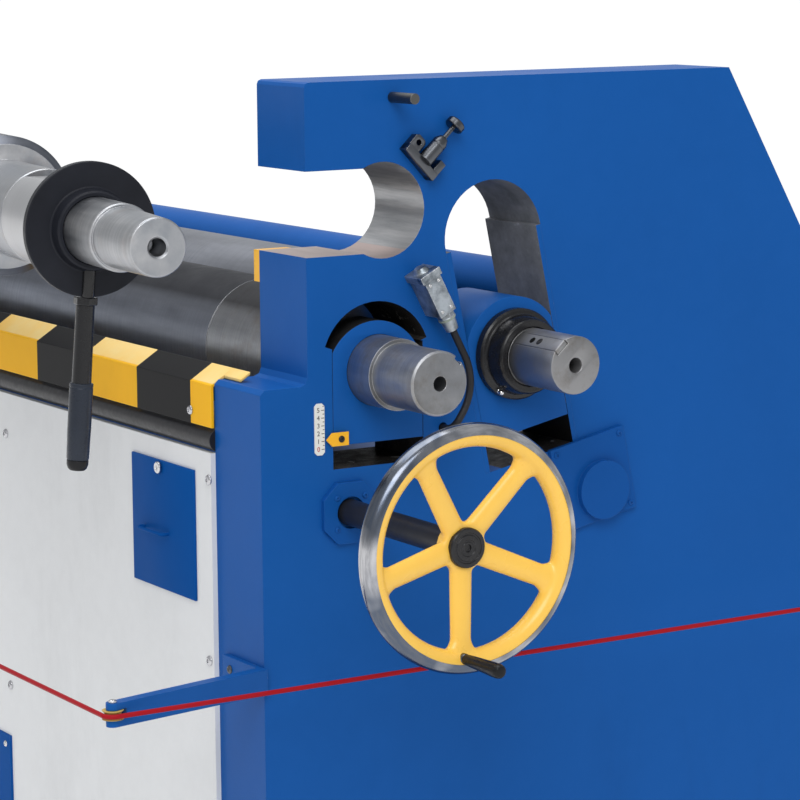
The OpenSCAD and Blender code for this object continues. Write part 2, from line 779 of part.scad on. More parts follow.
// ---------- handwheel ----------
shaft_in = 60;
// the rim is a round tube: its outer half is bright metal, its inner half belongs to the painted wheel
rim_r = 10.8;
rim_mid_r = wheel_d / 2 - rim_r;
hub_r = 25;
hub_t = 26;
// how far the hub's front lies behind the rim's middle plane
hub_back = 11;
wheel_turn = 3;
module at_wheel() {
    translate([end_x + wheel_out, wheel_y, wheel_z]) rotate([-wheel_turn, 0, 0]) children();
}
module wheel_shaft() {
    color([0.08, 0.08, 0.09])
    at_wheel() translate([2 - shaft_in - wheel_out, 0, 0])
        rod_x(shaft_r, wheel_out + shaft_in - 2 - hub_back - hub_t, 48);
}
module wheel_rim() {
    color([0.8, 0.81, 0.83])
    at_wheel() rotate([0, 90, 0])
        rotate_extrude($fn = 96)
            intersection() {
                translate([rim_mid_r, 0]) circle(r = rim_r, $fn = 40);
                translate([rim_mid_r + 0.05, -rim_r]) square([rim_r, 2 * rim_r]);
            }
}
crank_r = 109.5;
crank_turn = 3.5;
crank_pin_r = 4;
// the boss at the pin's root ends short of the handle
crank_boss_r = 4.6;
spoke_foot_r = 108;
spoke_len = 98;
spoke_lean = 12;
module at_crank() {
    at_wheel() rotate([-crank_turn, 0, 0]) translate([0, 0, -crank_r]) children();
}
module wheel_spider() {
    color([0.95, 0.74, 0.18]) {
        at_wheel() {
            rotate([0, 90, 0]) {
                translate([0, 0, -hub_back - hub_t]) cylinder(r1 = hub_r - 1, r2 = hub_r, h = hub_t, $fn = 56);
                rotate_extrude($fn = 96)
                    intersection() {
                        translate([rim_mid_r, 0]) circle(r = rim_r - 0.3, $fn = 40);
                        translate([rim_mid_r - 0.05 - rim_r, -rim_r]) square([rim_r, 2 * rim_r]);
                    }
            }
            for (i = [0:spoke_count - 1])
                rotate([i * 360 / spoke_count, 0, 0])
                    translate([-1, 0, -spoke_foot_r]) rotate([0, -spoke_lean, 0])
                        scale([0.65, 1, 1]) cylinder(r1 = 11.5, r2 = 12.8, h = spoke_len, $fn = 32);
        }
        at_crank() {
            rod_x(crank_boss_r, handle_x - 0.4, 32);
            rod_x(crank_pin_r, 60, 24);
        }
    }
}
cap_r = 19.8;
module wheel_cap() {
    color([0.06, 0.06, 0.07])
    at_wheel() translate([-hub_back, 0, 0])
        difference() {
            rotate([0, 90, 0]) cylinder(r1 = cap_r, r2 = cap_r - 1, h = 6, $fn = 56);
            translate([4, 0, 0]) rod_x(5, 3, 6);
        }
}
handle_x = 11;
handle_len = 65;
module crank_handle() {
    color([0.06, 0.06, 0.07])
    at_crank() translate([handle_x, 0, 0])
        difference() {
            rotate([0, 90, 0]) {
                cylinder(r1 = 5.4, r2 = 7.5, h = handle_len - 6, $fn = 40);
                translate([0, 0, handle_len - 6]) cylinder(r1 = 7.5, r2 = 6.6, h = 4, $fn = 40);
                translate([0, 0, handle_len - 2]) cylinder(r1 = 6.6, r2 = 4.6, h = 2, $fn = 40);
            }
            translate([-1, 0, 0]) rod_x(crank_pin_r + run_c, 52, 24);
        }
}

right_stand();
left_stand();
cabinet();
front_panel();
service_hatch();
lower_cover();
rear_panel();
striped_guard();
guard_tube();
tie_tube();
right_liners();
left_liners();
lip_plate();
limit_switch();
switch_cable();
latch();
stop_pin();
scale_strip();
shaft_boss();
adjuster_cover();
rope_arms();
rope_pulleys();
pull_rope();
drive_housing();
foot_plates();
lower_block_right();
lower_block_left();
scale_pointer();
lower_roll();
rear_block_right();
rear_block_left();
rear_collar();
rear_roll();
rear_key();
swivel_block();
bearing_bush();
top_roll();
lock_ring();
lock_lever();
wheel_rim();
wheel_spider();
wheel_cap();
wheel_shaft();
crank_handle();
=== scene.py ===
"""Looks, small fittings, light and camera for the powered plate rolling machine.

The CAD nodes get procedural finishes here. Turned and cast parts that want finer form than the
collision solids stand in for their nodes, and screws, figures and other small fittings are added.
Lengths are in metres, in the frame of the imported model.
"""
import json
import math

import bmesh
import bpy
from mathutils import Matrix, Vector


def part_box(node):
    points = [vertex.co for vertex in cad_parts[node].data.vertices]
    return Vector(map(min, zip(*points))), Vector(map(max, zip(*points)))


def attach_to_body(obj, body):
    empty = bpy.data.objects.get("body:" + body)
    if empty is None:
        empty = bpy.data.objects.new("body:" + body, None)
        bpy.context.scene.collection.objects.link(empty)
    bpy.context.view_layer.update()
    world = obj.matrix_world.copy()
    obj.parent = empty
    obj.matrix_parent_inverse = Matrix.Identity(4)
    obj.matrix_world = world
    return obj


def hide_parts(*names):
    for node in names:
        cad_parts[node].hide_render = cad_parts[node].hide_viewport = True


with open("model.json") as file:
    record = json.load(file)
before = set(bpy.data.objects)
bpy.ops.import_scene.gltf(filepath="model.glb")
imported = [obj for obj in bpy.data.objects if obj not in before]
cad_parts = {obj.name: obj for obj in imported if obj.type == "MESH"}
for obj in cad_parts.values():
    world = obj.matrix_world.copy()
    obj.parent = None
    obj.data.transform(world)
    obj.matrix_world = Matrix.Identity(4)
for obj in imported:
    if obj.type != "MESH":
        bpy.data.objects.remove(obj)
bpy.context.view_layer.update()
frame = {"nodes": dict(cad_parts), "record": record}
nodes = frame["nodes"]
scene = bpy.context.scene
joints = {joint["name"]: joint for joint in frame["record"]["behaviour"]["joints"]}

# -------- shared places
MM = 0.001
END_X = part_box("right_stand")[1].x
IN_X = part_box("right_stand")[0].x
PIVOT = Vector(joints["top_roll_swing"]["pos_m"])
SEAT_Y, TOP_Z = PIVOT.y, PIVOT.z
SWING = math.radians(joints["top_roll_swing"]["range_deg"][1])
PIVOT_DIST = END_X - PIVOT.x
LOWER = Vector((END_X, *joints["lower_roll_spin"]["pos_m"][1:]))
REAR = Vector((END_X, *joints["rear_roll_spin"]["pos_m"][1:]))
REAR_AXIS = joints["rear_slide"]["axis"]
SLOT_LEAN = math.atan2(-REAR_AXIS[1], REAR_AXIS[2])
WHEEL_OUT = 0.234  # from the end face out to the wheel's middle plane
WHEEL = Vector((END_X + WHEEL_OUT, *joints["handwheel_turn"]["pos_m"][1:]))
SLOT_FOOT, FOOT_FRONT = 0.811, -0.1  # top and back of the painted wall under the leaning slot
SHADE_TOP = 0.84  # painted shade: below this height the sliding faces are painted near-black, as the shade in the gap under the blocks
BODY_END = 0.261  # from the end face back to the upper roll's body
REAR_STEP, LOWER_STEP = 0.1, 0.245  # from the end face back to where those rolls' shafts change tone
BAND_START, BAND_WIDTH = 0.147, 0.13  # the guard's first band, from the end face, and each band's width
BEND_Z = 0.88  # the guard's sloping flange begins here


def shift(x=0.0, y=0.0, z=0.0):
    return Matrix.Translation((x, y, z))


def turn(degrees, axis="X"):
    return Matrix.Rotation(math.radians(degrees), 4, axis)


def mm(*points):
    """points written in millimetres, as metres"""
    return [tuple(number * MM for number in point) for point in points]


ALONG_X = turn(90, "Y")  # lays what is drawn along Z along X
SWUNG = Matrix.Translation(PIVOT) @ Matrix.Rotation(-SWING, 4, "Z")


# -------- material tools
class Graph:
    """The node tree of a new material or world."""

    def __init__(self, name, family=bpy.data.materials, out="OutputMaterial"):
        self.owner = family.new(name)
        self.owner.use_nodes = True
        self.tree = self.owner.node_tree
        self.tree.nodes.clear()
        self.out = self.add(out)
        self.coord = self.add("TexCoord").outputs["Object"]

    def add(self, kind, inputs=None, **attrs):
        """a shader node; its kind is written without the leading ShaderNode"""
        node = self.tree.nodes.new("ShaderNode" + kind)
        for key, value in attrs.items():
            setattr(node, key, value)
        for key, value in (inputs or {}).items():
            self.put(node.inputs[key], value)
        return node

    def put(self, socket, value):
        if isinstance(value, bpy.types.NodeSocket):
            self.tree.links.new(value, socket)
        elif value is not None:
            socket.default_value = value

    def math(self, op, a, b=None, c=None, clamp=False):
        node = self.add("Math", operation=op, use_clamp=clamp)
        for i, value in enumerate((a, b, c)):
            if value is not None:
                self.put(node.inputs[i], value)
        return node.outputs[0]

    def product(self, *factors):
        result = factors[0]
        for factor in factors[1:]:
            result = self.math("MULTIPLY", result, factor, clamp=True)
        return result

    def span(self, value, low, high, to_low=0.0, to_high=1.0):
        node = self.add("MapRange", {"Value": value, "From Min": low, "From Max": high,
                                               "To Min": to_low, "To Max": to_high})
        return node.outputs[0]

    def between(self, value, low, high):
        """1 where value lies between low and high"""
        return self.math("COMPARE", value, (low + high) / 2, (high - low) / 2)

    def mix(self, factor, a, b, blend="MIX"):
        node = self.add("Mix", data_type="RGBA", blend_type=blend)
        self.put(node.inputs[0], factor)
        self.put(node.inputs[6], rgba(a))
        self.put(node.inputs[7], rgba(b))
        return node.outputs[2]

    def place(self, scale, about_z=0.0):
        """the object's own coordinates, turned about Z and then scaled"""
        node = self.add("Mapping", {"Vector": self.coord})
        if about_z:
            node.inputs["Rotation"].default_value = (0, 0, about_z)
            node = self.add("Mapping", {"Vector": node.outputs[0]})
        node.inputs["Scale"].default_value = scale
        return node.outputs[0]

    def noise(self, scale, detail, rough, vector=None):
        return self.add("TexNoise", {"Vector": vector or self.coord, "Scale": scale,
                                               "Detail": detail, "Roughness": rough}).outputs[0]

    def axis(self, which, vector=None):
        return self.add("SeparateXYZ", {0: vector or self.coord}).outputs[which]

    def facing_x(self):
        """how far a face looks along X: 1 on end faces, 0 on faces that run along X"""
        local = self.add("TexCoord").outputs["Normal"]
        return self.math("ABSOLUTE", self.axis(0, local))

    def below_foot(self):
        """1 on the painted front wall at the foot of the leaning slot"""
        return self.product(self.math("LESS_THAN", self.axis(2), SLOT_FOOT),
                            self.math("LESS_THAN", self.axis(1), FOOT_FRONT))

    def distance(self, y, z):
        """distance from a line along X"""
        dy = self.math("SUBTRACT", self.axis(1), y)
        dz = self.math("SUBTRACT", self.axis(2), z)
        squares = self.math("ADD", self.math("MULTIPLY", dy, dy), self.math("MULTIPLY", dz, dz))
        return self.math("SQRT", squares)

    def edges(self, radius):
        """(rounded normal, mask that is 1 on edges)"""
        bevel = self.add("Bevel", {"Radius": radius}, samples=6).outputs[0]
        flat = self.add("NewGeometry").outputs["Normal"]
        dot = self.add("VectorMath", {0: bevel, 1: flat}, operation="DOT_PRODUCT").outputs["Value"]
        return bevel, self.span(dot, 0.995, 0.80)

    def bump(self, height, depth, normal=None, strength=1.0):
        return self.add("Bump", {"Height": height, "Distance": depth, "Strength": strength,
                                           "Normal": normal}).outputs[0]

    def orange_peel(self, normal, depth=0.00005):
        """the fine texture of enamel over slow waves in the sheet"""
        surface = self.bump(self.noise(260, 2, 0.4), depth, normal)
        return self.bump(self.noise(3.5, 2, 0.5), 0.0016, surface, 0.35)

    def finish(self, **inputs):
        shader = self.add("BsdfPrincipled")
        for key, value in inputs.items():
            key = key.replace("_", " ")
            self.put(shader.inputs[key], rgba(value) if key == "Base Color" else value)
        self.put(self.out.inputs[0], shader.outputs[0])
        return self.owner


def rgba(value):
    if isinstance(value, (tuple, list)) and len(value) == 3:
        return (*value, 1.0)
    return value


def srgb(r, g, b):
    """a colour written as 0-255 screen values, as linear light"""
    screen = (r / 255, g / 255, b / 255)
    return tuple(c / 12.92 if c <= 0.04045 else ((c + 0.055) / 1.055) ** 2.4 for c in screen)


def times(colour, factor, plus=0.0):
    return [min(1.0, c * factor + plus) for c in colour]


# -------- finishes
EDGE = 0.0012  # width over which edges are rounded, worn and painted lighter as highlights


def enamel(g, colour, wear_and_highlight=0.3, edge=EDGE, chips=True):
    """(colour, normal) of brushed and sprayed enamel on steel"""
    cloud = g.noise(2.3, 4, 0.55)
    fine = g.noise(55, 5, 0.6)
    tone = g.mix(g.span(cloud, 0.3, 0.7), times(colour, 0.94), times(colour, 1.05))
    tone = g.mix(g.span(fine, 0.35, 0.65, 0, 0.2), tone, times(colour, 1.1, 0.003))
    grime = g.noise(6, 6, 0.7, g.place((1, 1, 0.35)))
    tone = g.mix(g.span(grime, 0.55, 0.85, 0, 0.3), tone, times(colour, 0.6))
    normal, edge_mask = g.edges(edge)
    # worn edges and painted highlight: edges are lightened in patches
    worn_and_highlit = g.product(edge_mask, g.span(g.noise(130, 4, 0.6), 0.42, 0.62, 0.1, wear_and_highlight))
    tone = g.mix(worn_and_highlit, tone, times(colour, 1.5, 0.05))
    if chips:
        bare = g.product(edge_mask, g.span(g.noise(48, 5, 0.65), 0.66, 0.7))
        tone = g.mix(bare, tone, (0.32, 0.3, 0.28))
    return tone, normal


def paint(name, colour, rough=0.34, peel=0.00005, edge=EDGE, wear_and_highlight=0.3, gloss=0.07, chips=True):
    """enamel on steel: soft clouding, orange peel and slightly worn edges, also painted lighter as highlights
    """
    g = Graph(name)
    tone, normal = enamel(g, colour, wear_and_highlight, edge, chips)
    roughness = g.span(g.noise(7, 5, 0.6), 0.3, 0.7, rough - 0.05, rough + 0.08)
    return g.finish(Base_Color=tone, Roughness=roughness, Normal=g.orange_peel(normal, peel),
                    Specular_IOR_Level=gloss)


def ground(name, colour, rough=0.34, about_z=0.0, lines=700.0, smear=0.12, stain=(0.0, (0.2, 0.13, 0.09)),
           face=1.0):
    """turned or ground steel: fine lines round the axis, oily smears, stains and edges painted paler as
    highlights;
    about_z turns the axis, and face darkens the faces that look along X"""
    g = Graph(name)
    round_lines = g.noise(1.0, 3, 0.65, g.place((lines, 5, 5), about_z))
    bands = g.noise(1.0, 4, 0.6, g.place((38, 1.5, 1.5), about_z))
    smears = g.noise(9, 6, 0.62, g.place((0.6, 1, 1), about_z))
    tone = g.mix(g.span(smears, 0.3, 0.7), times(colour, 1 - smear), times(colour, 1 + smear))
    tone = g.mix(g.span(bands, 0.35, 0.65, 0, 0.3), tone, times(colour, 0.86))
    tone = g.mix(g.span(round_lines, 0.4, 0.6, 0, 0.16), tone, times(colour, 0.7))
    amount, rust = stain
    patches = g.noise(28, 6, 0.66, g.place((0.8, 1.0, 1.3), about_z))
    tone = g.mix(g.span(patches, 0.52, 0.68, 0, amount), tone, rust)
    normal, edge_mask = g.edges(EDGE)
    # painted highlight: edges are painted paler
    tone = g.mix(g.math("MULTIPLY", edge_mask, 0.45), tone, times(colour, 1.5, 0.06))
    if face < 1.0:
        tone = g.mix(g.math("GREATER_THAN", g.facing_x(), 0.9), tone, (face, face, face), "MULTIPLY")
    roughness = g.span(g.math("ADD", smears, g.math("MULTIPLY", round_lines, 0.5)), 0.5, 1.0,
                       rough - 0.07, rough + 0.1)
    return g.finish(Base_Color=tone, Metallic=1.0, Roughness=roughness,
                    Normal=g.bump(round_lines, 0.00002, normal))


def upper_roll_steel():
    """the swung-out roll: dark oiled body and chamfer, pale turned neck and shaft"""
    g = Graph("upper_roll_steel")
    dx = g.math("MULTIPLY", g.math("SUBTRACT", g.axis(0), PIVOT.x), math.cos(SWING))
    dy = g.math("MULTIPLY", g.math("SUBTRACT", g.axis(1), PIVOT.y), math.sin(SWING))
    along = g.math("SUBTRACT", dx, dy)
    body = g.math("LESS_THAN", along, PIVOT_DIST - BODY_END - 0.2 * MM)
    lines = g.noise(1.0, 4, 0.65, g.place((420, 4, 4), SWING))
    streaks = g.noise(1.0, 5, 0.6, g.place((3, 26, 26), SWING))
    pale = g.mix(g.span(streaks, 0.32, 0.68), (0.3, 0.32, 0.35), (0.52, 0.52, 0.53))
    pale = g.mix(g.span(g.noise(30, 6, 0.65), 0.55, 0.72, 0, 0.4), pale, (0.34, 0.29, 0.26))
    oiled = g.mix(g.span(streaks, 0.3, 0.7), (0.07, 0.08, 0.1), (0.16, 0.17, 0.2))
    tone = g.mix(g.span(lines, 0.4, 0.6, 0, 0.3), g.mix(body, pale, oiled), (0.2, 0.21, 0.23))
    normal, edge_mask = g.edges(EDGE)
    # painted highlight: edges are painted pale
    tone = g.mix(g.math("MULTIPLY", edge_mask, 0.5), tone, (0.75, 0.75, 0.75))
    roughness = g.span(streaks, 0.3, 0.7, 0.26, 0.44)
    return g.finish(Base_Color=tone, Metallic=1.0, Roughness=roughness, Normal=g.bump(lines, 0.00003, normal))


def cast_zinc():
    """die-cast housing with dark recesses and bright worn edges"""
    g = Graph("switch_metal_cast")
    spots = g.noise(60, 5, 0.65)
    tone = g.mix(g.span(spots, 0.35, 0.62), (0.12, 0.14, 0.16), (0.42, 0.46, 0.5))
    normal, edge_mask = g.edges(0.0016)
    tone = g.mix(g.product(edge_mask, g.span(g.noise(120, 4, 0.6), 0.35, 0.6)), tone, (0.85, 0.86, 0.88))
    return g.finish(Base_Color=tone, Metallic=0.75, Roughness=g.span(spots, 0.3, 0.7, 0.26, 0.42),
                    Normal=g.bump(spots, 0.0002, normal))


def polished_rim():
    """polished bright rim: broad dark bluish and bright stretches round the wheel, painted as reflections"""
    g = Graph("rim_chrome_polish")
    stretch = g.noise(14, 3, 0.5)
    lines = g.noise(1.0, 4, 0.6, g.place((420, 40, 40)))
    # painted reflection: broad dark bluish and bright stretches round the rim
    tone = g.mix(g.span(stretch, 0.4, 0.6), (0.1, 0.12, 0.16), (0.54, 0.54, 0.56))
    tone = g.mix(g.span(lines, 0.4, 0.62, 0, 0.5), tone, (0.16, 0.165, 0.18))
    return g.finish(Base_Color=tone, Metallic=1.0, Roughness=g.span(stretch, 0.3, 0.7, 0.24, 0.12),
                    Normal=g.bump(lines, 0.00001))


def roll_steel_painted_dark(name, step, body, shaft, below, above):
    """a roll whose downward faces inside the frame can be painted black as shade, and its upward faces as the
    reflection of dark surroundings; from the step on its shaft has a tone of its own
    """
    g = Graph(name)
    lines = g.noise(1.0, 4, 0.65, g.place((520, 4, 4)))
    streaks = g.noise(1.0, 5, 0.6, g.place((4, 30, 30)))
    patches = g.noise(24, 6, 0.66)
    past_step = g.math("GREATER_THAN", g.axis(0), END_X - step)
    tone = g.mix(g.span(streaks, 0.32, 0.68), times(body, 0.8), times(body, 1.25))
    bare = g.mix(g.span(streaks, 0.32, 0.68), times(shaft, 0.75), times(shaft, 1.15))
    bare = g.mix(g.span(patches, 0.5, 0.68, 0, 0.55), bare, (0.26, 0.22, 0.18))
    tone = g.mix(past_step, tone, bare)
    # painted shade below and painted reflection above: faces turned down or up in the world, inside the
    # frame, are painted black and lose their metal sheen, so the dark stays put as the roll turns
    up = g.axis(2, g.add("NewGeometry").outputs["Normal"])
    inside = g.math("LESS_THAN", g.axis(0), IN_X)
    painted_shade_below = g.product(inside, g.span(up, 0.56, 0.4, 0, below))
    painted_shade_and_reflection = g.math("MAXIMUM", painted_shade_below, g.product(inside, g.span(up, 0.34, 0.72, 0, above)))
    tone = g.mix(g.math("GREATER_THAN", g.facing_x(), 0.9), tone, (0.62, 0.62, 0.62), "MULTIPLY")
    tone = g.mix(g.span(lines, 0.4, 0.6, 0, 0.3), tone, times(body, 0.7))
    normal, edge_mask = g.edges(EDGE)
    # painted highlight: edges are painted pale
    tone = g.mix(g.math("MULTIPLY", edge_mask, 0.55), tone, (0.72, 0.72, 0.72))
    tone = g.mix(painted_shade_and_reflection, tone, (0.01, 0.01, 0.012))
    roughness = g.span(patches, 0.3, 0.7, 0.38, 0.56)
    return g.finish(Base_Color=tone, Metallic=g.math("SUBTRACT", 1.0, painted_shade_and_reflection), Roughness=roughness,
                    Specular_IOR_Level=0.06, Normal=g.bump(lines, 0.00003, normal))


def blackened(name, colour=(0.012, 0.012, 0.014), rough=0.36, rub_and_highlight=6.0, gloss=0.3):
    """oiled black oxide or satin black plastic, with edges lightened as worn and as painted highlights"""
    g = Graph(name)
    fine = g.noise(170, 4, 0.6)
    tone = g.mix(g.span(g.noise(14, 5, 0.6), 0.3, 0.7), colour, times(colour, 1.7))
    normal, edge_mask = g.edges(0.001)
    # worn edges and painted highlight: edges are lightened in patches
    worn_and_highlit = g.product(edge_mask, g.span(g.noise(90, 4, 0.6), 0.4, 0.65, 0.1, 0.5))
    tone = g.mix(worn_and_highlit, tone, times(colour, rub_and_highlight, 0.03))
    roughness = g.span(fine, 0.3, 0.7, rough - 0.06, rough + 0.1)
    return g.finish(Base_Color=tone, Roughness=roughness, Specular_IOR_Level=gloss,
                    Normal=g.bump(fine, 0.00004, normal))


def greasy(g):
    """(colour, roughness, height) of a black greased slide face with bright scraped flecks"""
    cells = g.noise(60, 6, 0.72)
    flecks = g.span(cells, 0.63, 0.67)
    tone = g.mix(g.span(g.noise(22, 5, 0.6), 0.35, 0.65), (0.008, 0.008, 0.009), (0.05, 0.045, 0.04))
    return g.mix(flecks, tone, (0.4, 0.39, 0.37)), g.span(cells, 0.3, 0.7, 0.25, 0.6), cells


def end_frame(name, colour, seat):
    """enamelled end frame whose slots are bare: a scraped seat, a dark arch and greased slides"""
    mouth_half, mouth_front, mouth_back, shadow_line = 0.0535, -0.3424, SEAT_Y + 0.06, 0.043
    arch_z, arch_y, arch_radius = (0.985, 1.12), (-0.19, 0.02), 0.06
    slide_z, slide_y = (0.775, 0.98), (LOWER.y - 0.075, LOWER.y + 0.075)
    foot_z, foot_y = (0.76, 0.985), (-0.14, 0.02)
    g = Graph(name)
    tone, normal = enamel(g, colour)
    y, z = g.axis(1), g.axis(2)
    bore = g.math("LESS_THAN", g.facing_x(), 0.5)

    streak = g.noise(1.0, 5, 0.7, g.place((6, 60, 90)))
    steel = g.mix(g.span(streak, 0.35, 0.65), (0.3, 0.31, 0.325), (0.5, 0.5, 0.51))
    # painted light: the steel from the mouth's floor up to the line where the shade begins is tinted warm
    # pink, as lit
    lit_lip = g.math("MULTIPLY", g.between(z, TOP_Z - mouth_half, TOP_Z - shadow_line), 0.6)
    steel = g.mix(lit_lip, steel, (0.6, 0.43, 0.38))
    mouth = g.product(bore, g.between(z, TOP_Z - mouth_half, TOP_Z + mouth_half),
                      g.between(y, mouth_front, mouth_back), seat)

    beyond_seat = g.math("GREATER_THAN", g.distance(SEAT_Y, TOP_Z), arch_radius)
    arch = g.product(bore, g.between(z, *arch_z), g.between(y, *arch_y), beyond_seat)
    dark_steel = g.mix(g.span(g.noise(40, 6, 0.65), 0.35, 0.65), (0.13, 0.14, 0.16), (0.22, 0.23, 0.26))

    slide = g.product(bore, g.between(z, *slide_z), g.between(y, *slide_y))
    rear_foot = g.product(bore, g.between(z, *foot_z), g.between(y, *foot_y),
                          g.math("SUBTRACT", 1.0, g.below_foot()))
    grease = g.math("MAXIMUM", slide, rear_foot)
    black, black_rough, black_height = greasy(g)

    tone = g.mix(arch, tone, dark_steel)
    tone = g.mix(mouth, tone, steel)
    tone = g.mix(grease, tone, black)
    roughness = g.span(g.noise(7, 5, 0.6), 0.3, 0.7, 0.29, 0.42)
    roughness = g.math("ADD", g.math("MULTIPLY", roughness, g.math("SUBTRACT", 1.0, grease)),
                       g.math("MULTIPLY", black_rough, grease))
    surface = g.bump(g.math("MULTIPLY", black_height, grease), 0.0012, g.orange_peel(normal))
    surface = g.bump(g.math("MULTIPLY", streak, mouth), 0.0004, surface)
    return g.finish(Base_Color=tone, Metallic=g.math("MULTIPLY", mouth, 0.8), Roughness=roughness,
                    Normal=surface, Specular_IOR_Level=0.07)


def painted_face(name, colour, side, metal):
    """a slide block or strip: enamelled on its outer faces, bare on the faces that slide"""
    g = Graph(name)
    tone, normal = enamel(g, colour)
    bore = g.product(g.math("LESS_THAN", g.facing_x(), 0.6), g.math("SUBTRACT", 1.0, g.below_foot()))
    cells = g.noise(50, 6, 0.7)
    bare = g.mix(g.span(cells, 0.35, 0.65), times(side, 0.8), times(side, 1.2))
    bare = g.mix(g.span(cells, 0.64, 0.7, 0, 0.5), bare, times(side, 2.2, 0.03))
    # painted shade: low down the bare faces are painted near-black, as the shade in the gap under the blocks
    bare = g.mix(g.math("LESS_THAN", g.axis(2), SHADE_TOP), bare, (0.01, 0.01, 0.01))
    return g.finish(Base_Color=g.mix(bore, tone, bare), Metallic=g.math("MULTIPLY", bore, metal),
                    Roughness=g.span(cells, 0.3, 0.7, 0.3, 0.44), Normal=g.orange_peel(normal),
                    Specular_IOR_Level=0.07)


def striped(name, colour, dark):
    """yellow guard with black bands across it; its sloping flange stays pale"""
    g = Graph(name)
    tone, normal = enamel(g, colour, 0.25)
    black, _ = enamel(g, dark, 0.3, chips=False)
    along = g.math("SUBTRACT", END_X - BAND_START, g.axis(0))
    ragged = g.math("ADD", along, g.math("MULTIPLY", g.noise(9, 3, 0.5), 0.004))
    wave = g.math("MODULO", ragged, 2 * BAND_WIDTH)
    band = g.product(g.math("LESS_THAN", wave, BAND_WIDTH), g.math("GREATER_THAN", along, 0.0))
    flange = g.math("GREATER_THAN", g.axis(2), BEND_Z + 1.5 * MM)
    tone = g.mix(band, tone, black)
    # the sloping flange between the bands is made paler in patches
    pale_flange = g.product(flange, g.math("SUBTRACT", 1.0, band), g.span(g.noise(12, 4, 0.6), 0.3, 0.7, 0.4, 0.9))
    tone = g.mix(pale_flange, tone, srgb(236, 218, 160))
    return g.finish(Base_Color=tone, Roughness=0.46, Normal=g.bump(g.noise(200, 3, 0.5), 0.00005, normal),
                    Specular_IOR_Level=0.1)


BLUE = srgb(20, 84, 158)
DEEP_BLUE = srgb(17, 78, 150)
PALE_STEEL = (0.5, 0.5, 0.51)
mats = {
    "machine_blue": paint("machine_blue_enamel", BLUE),
    "base_blue": paint("base_blue_enamel", DEEP_BLUE),
    "panel_white": paint("panel_white_powder", srgb(226, 227, 228), 0.5, 0.00012, EDGE, 0.1, chips=False),
    "safety_yellow": paint("safety_yellow_enamel", srgb(246, 182, 40), 0.3, 0.00004, 0.001, 0.2, 0.3,
                           chips=False),
    "roll_steel": upper_roll_steel(),
    # the lower roll's top is painted black as the reflection of dark surroundings
    "dark_roll_steel": roll_steel_painted_dark("lower_roll_ground", LOWER_STEP, (0.27, 0.29, 0.34),
                                       (0.42, 0.43, 0.45), 0.0, 0.93),
    "machined_steel": ground("machined_steel_turned", PALE_STEEL, 0.3, SWING),
    "blackened_steel": blackened("blackened_steel_oxide"),
    "slide_steel": painted_face("slide_steel_worn", BLUE, (0.165, 0.173, 0.192), 0.0),
    "rim_chrome": polished_rim(),
    "black_plastic": blackened("black_plastic_satin", (0.007, 0.007, 0.008), 0.3, gloss=0.2),
    "switch_metal": cast_zinc(),
    "cable_black": blackened("cable_black_rubber", (0.01, 0.01, 0.012), 0.45),
    "rope_red": paint("rope_red_sheath", srgb(158, 24, 34), 0.3, 0.0001, 0.0004, 0.1, chips=False),
    "pulley_tan": paint("pulley_tan_nylon", srgb(196, 168, 96), 0.4, 0.0001, 0.0006, 0.2, chips=False),
    "scale_white": paint("scale_white_enamel", srgb(226, 226, 222), 0.35, 0.00003, 0.0004, 0.1,
                         chips=False),
}


def refinish(material, *names):
    for name in names:
        nodes[name].data.materials.clear()
        nodes[name].data.materials.append(material)


for part in frame["record"]["subparts"]:
    refinish(mats[part["material_slot"]], part["node"])

block_face = painted_face("slide_block_enamel", BLUE, (0.03, 0.03, 0.032), 0.5)
hatch_blue = paint("hatch_blue_enamel", srgb(10, 76, 148), 0.45, gloss=0.02)
stripes = striped("guard_stripe_enamel", srgb(250, 186, 30), (0.006, 0.006, 0.007))
refinish(end_frame("end_frame_enamel", BLUE, 1.0), "right_stand")
refinish(end_frame("drive_frame_enamel", BLUE, 0.0), "left_stand")
refinish(block_face, "lower_block_left", "rear_block_left")
refinish(hatch_blue, "lower_cover")
refinish(stripes, "striped_guard")
refinish(ground("stop_pin_steel", (0.12, 0.12, 0.115), 0.4), "stop_pin")
# the rear roll's underside is painted black as the shade between the rolls
rear_steel = roll_steel_painted_dark("rear_roll_ground", REAR_STEP, (0.23, 0.24, 0.27), (0.1, 0.1, 0.11), 0.95, 0.0)
end_steel = ground("shaft_end_turned", (0.45, 0.45, 0.46), 0.44, 0.0, 900, stain=(0.5, (0.26, 0.22, 0.18)),
                   face=0.62)
glossy_black = blackened("oiled_black_steel", (0.007, 0.007, 0.008), 0.22, rub_and_highlight=14.0, gloss=0.35)
grip_black = blackened("grip_blue_black", (0.012, 0.016, 0.025), 0.28, gloss=0.28)
ring_black = blackened("ring_oxide", (0.01, 0.011, 0.015), 0.38, rub_and_highlight=5.0, gloss=0.14)
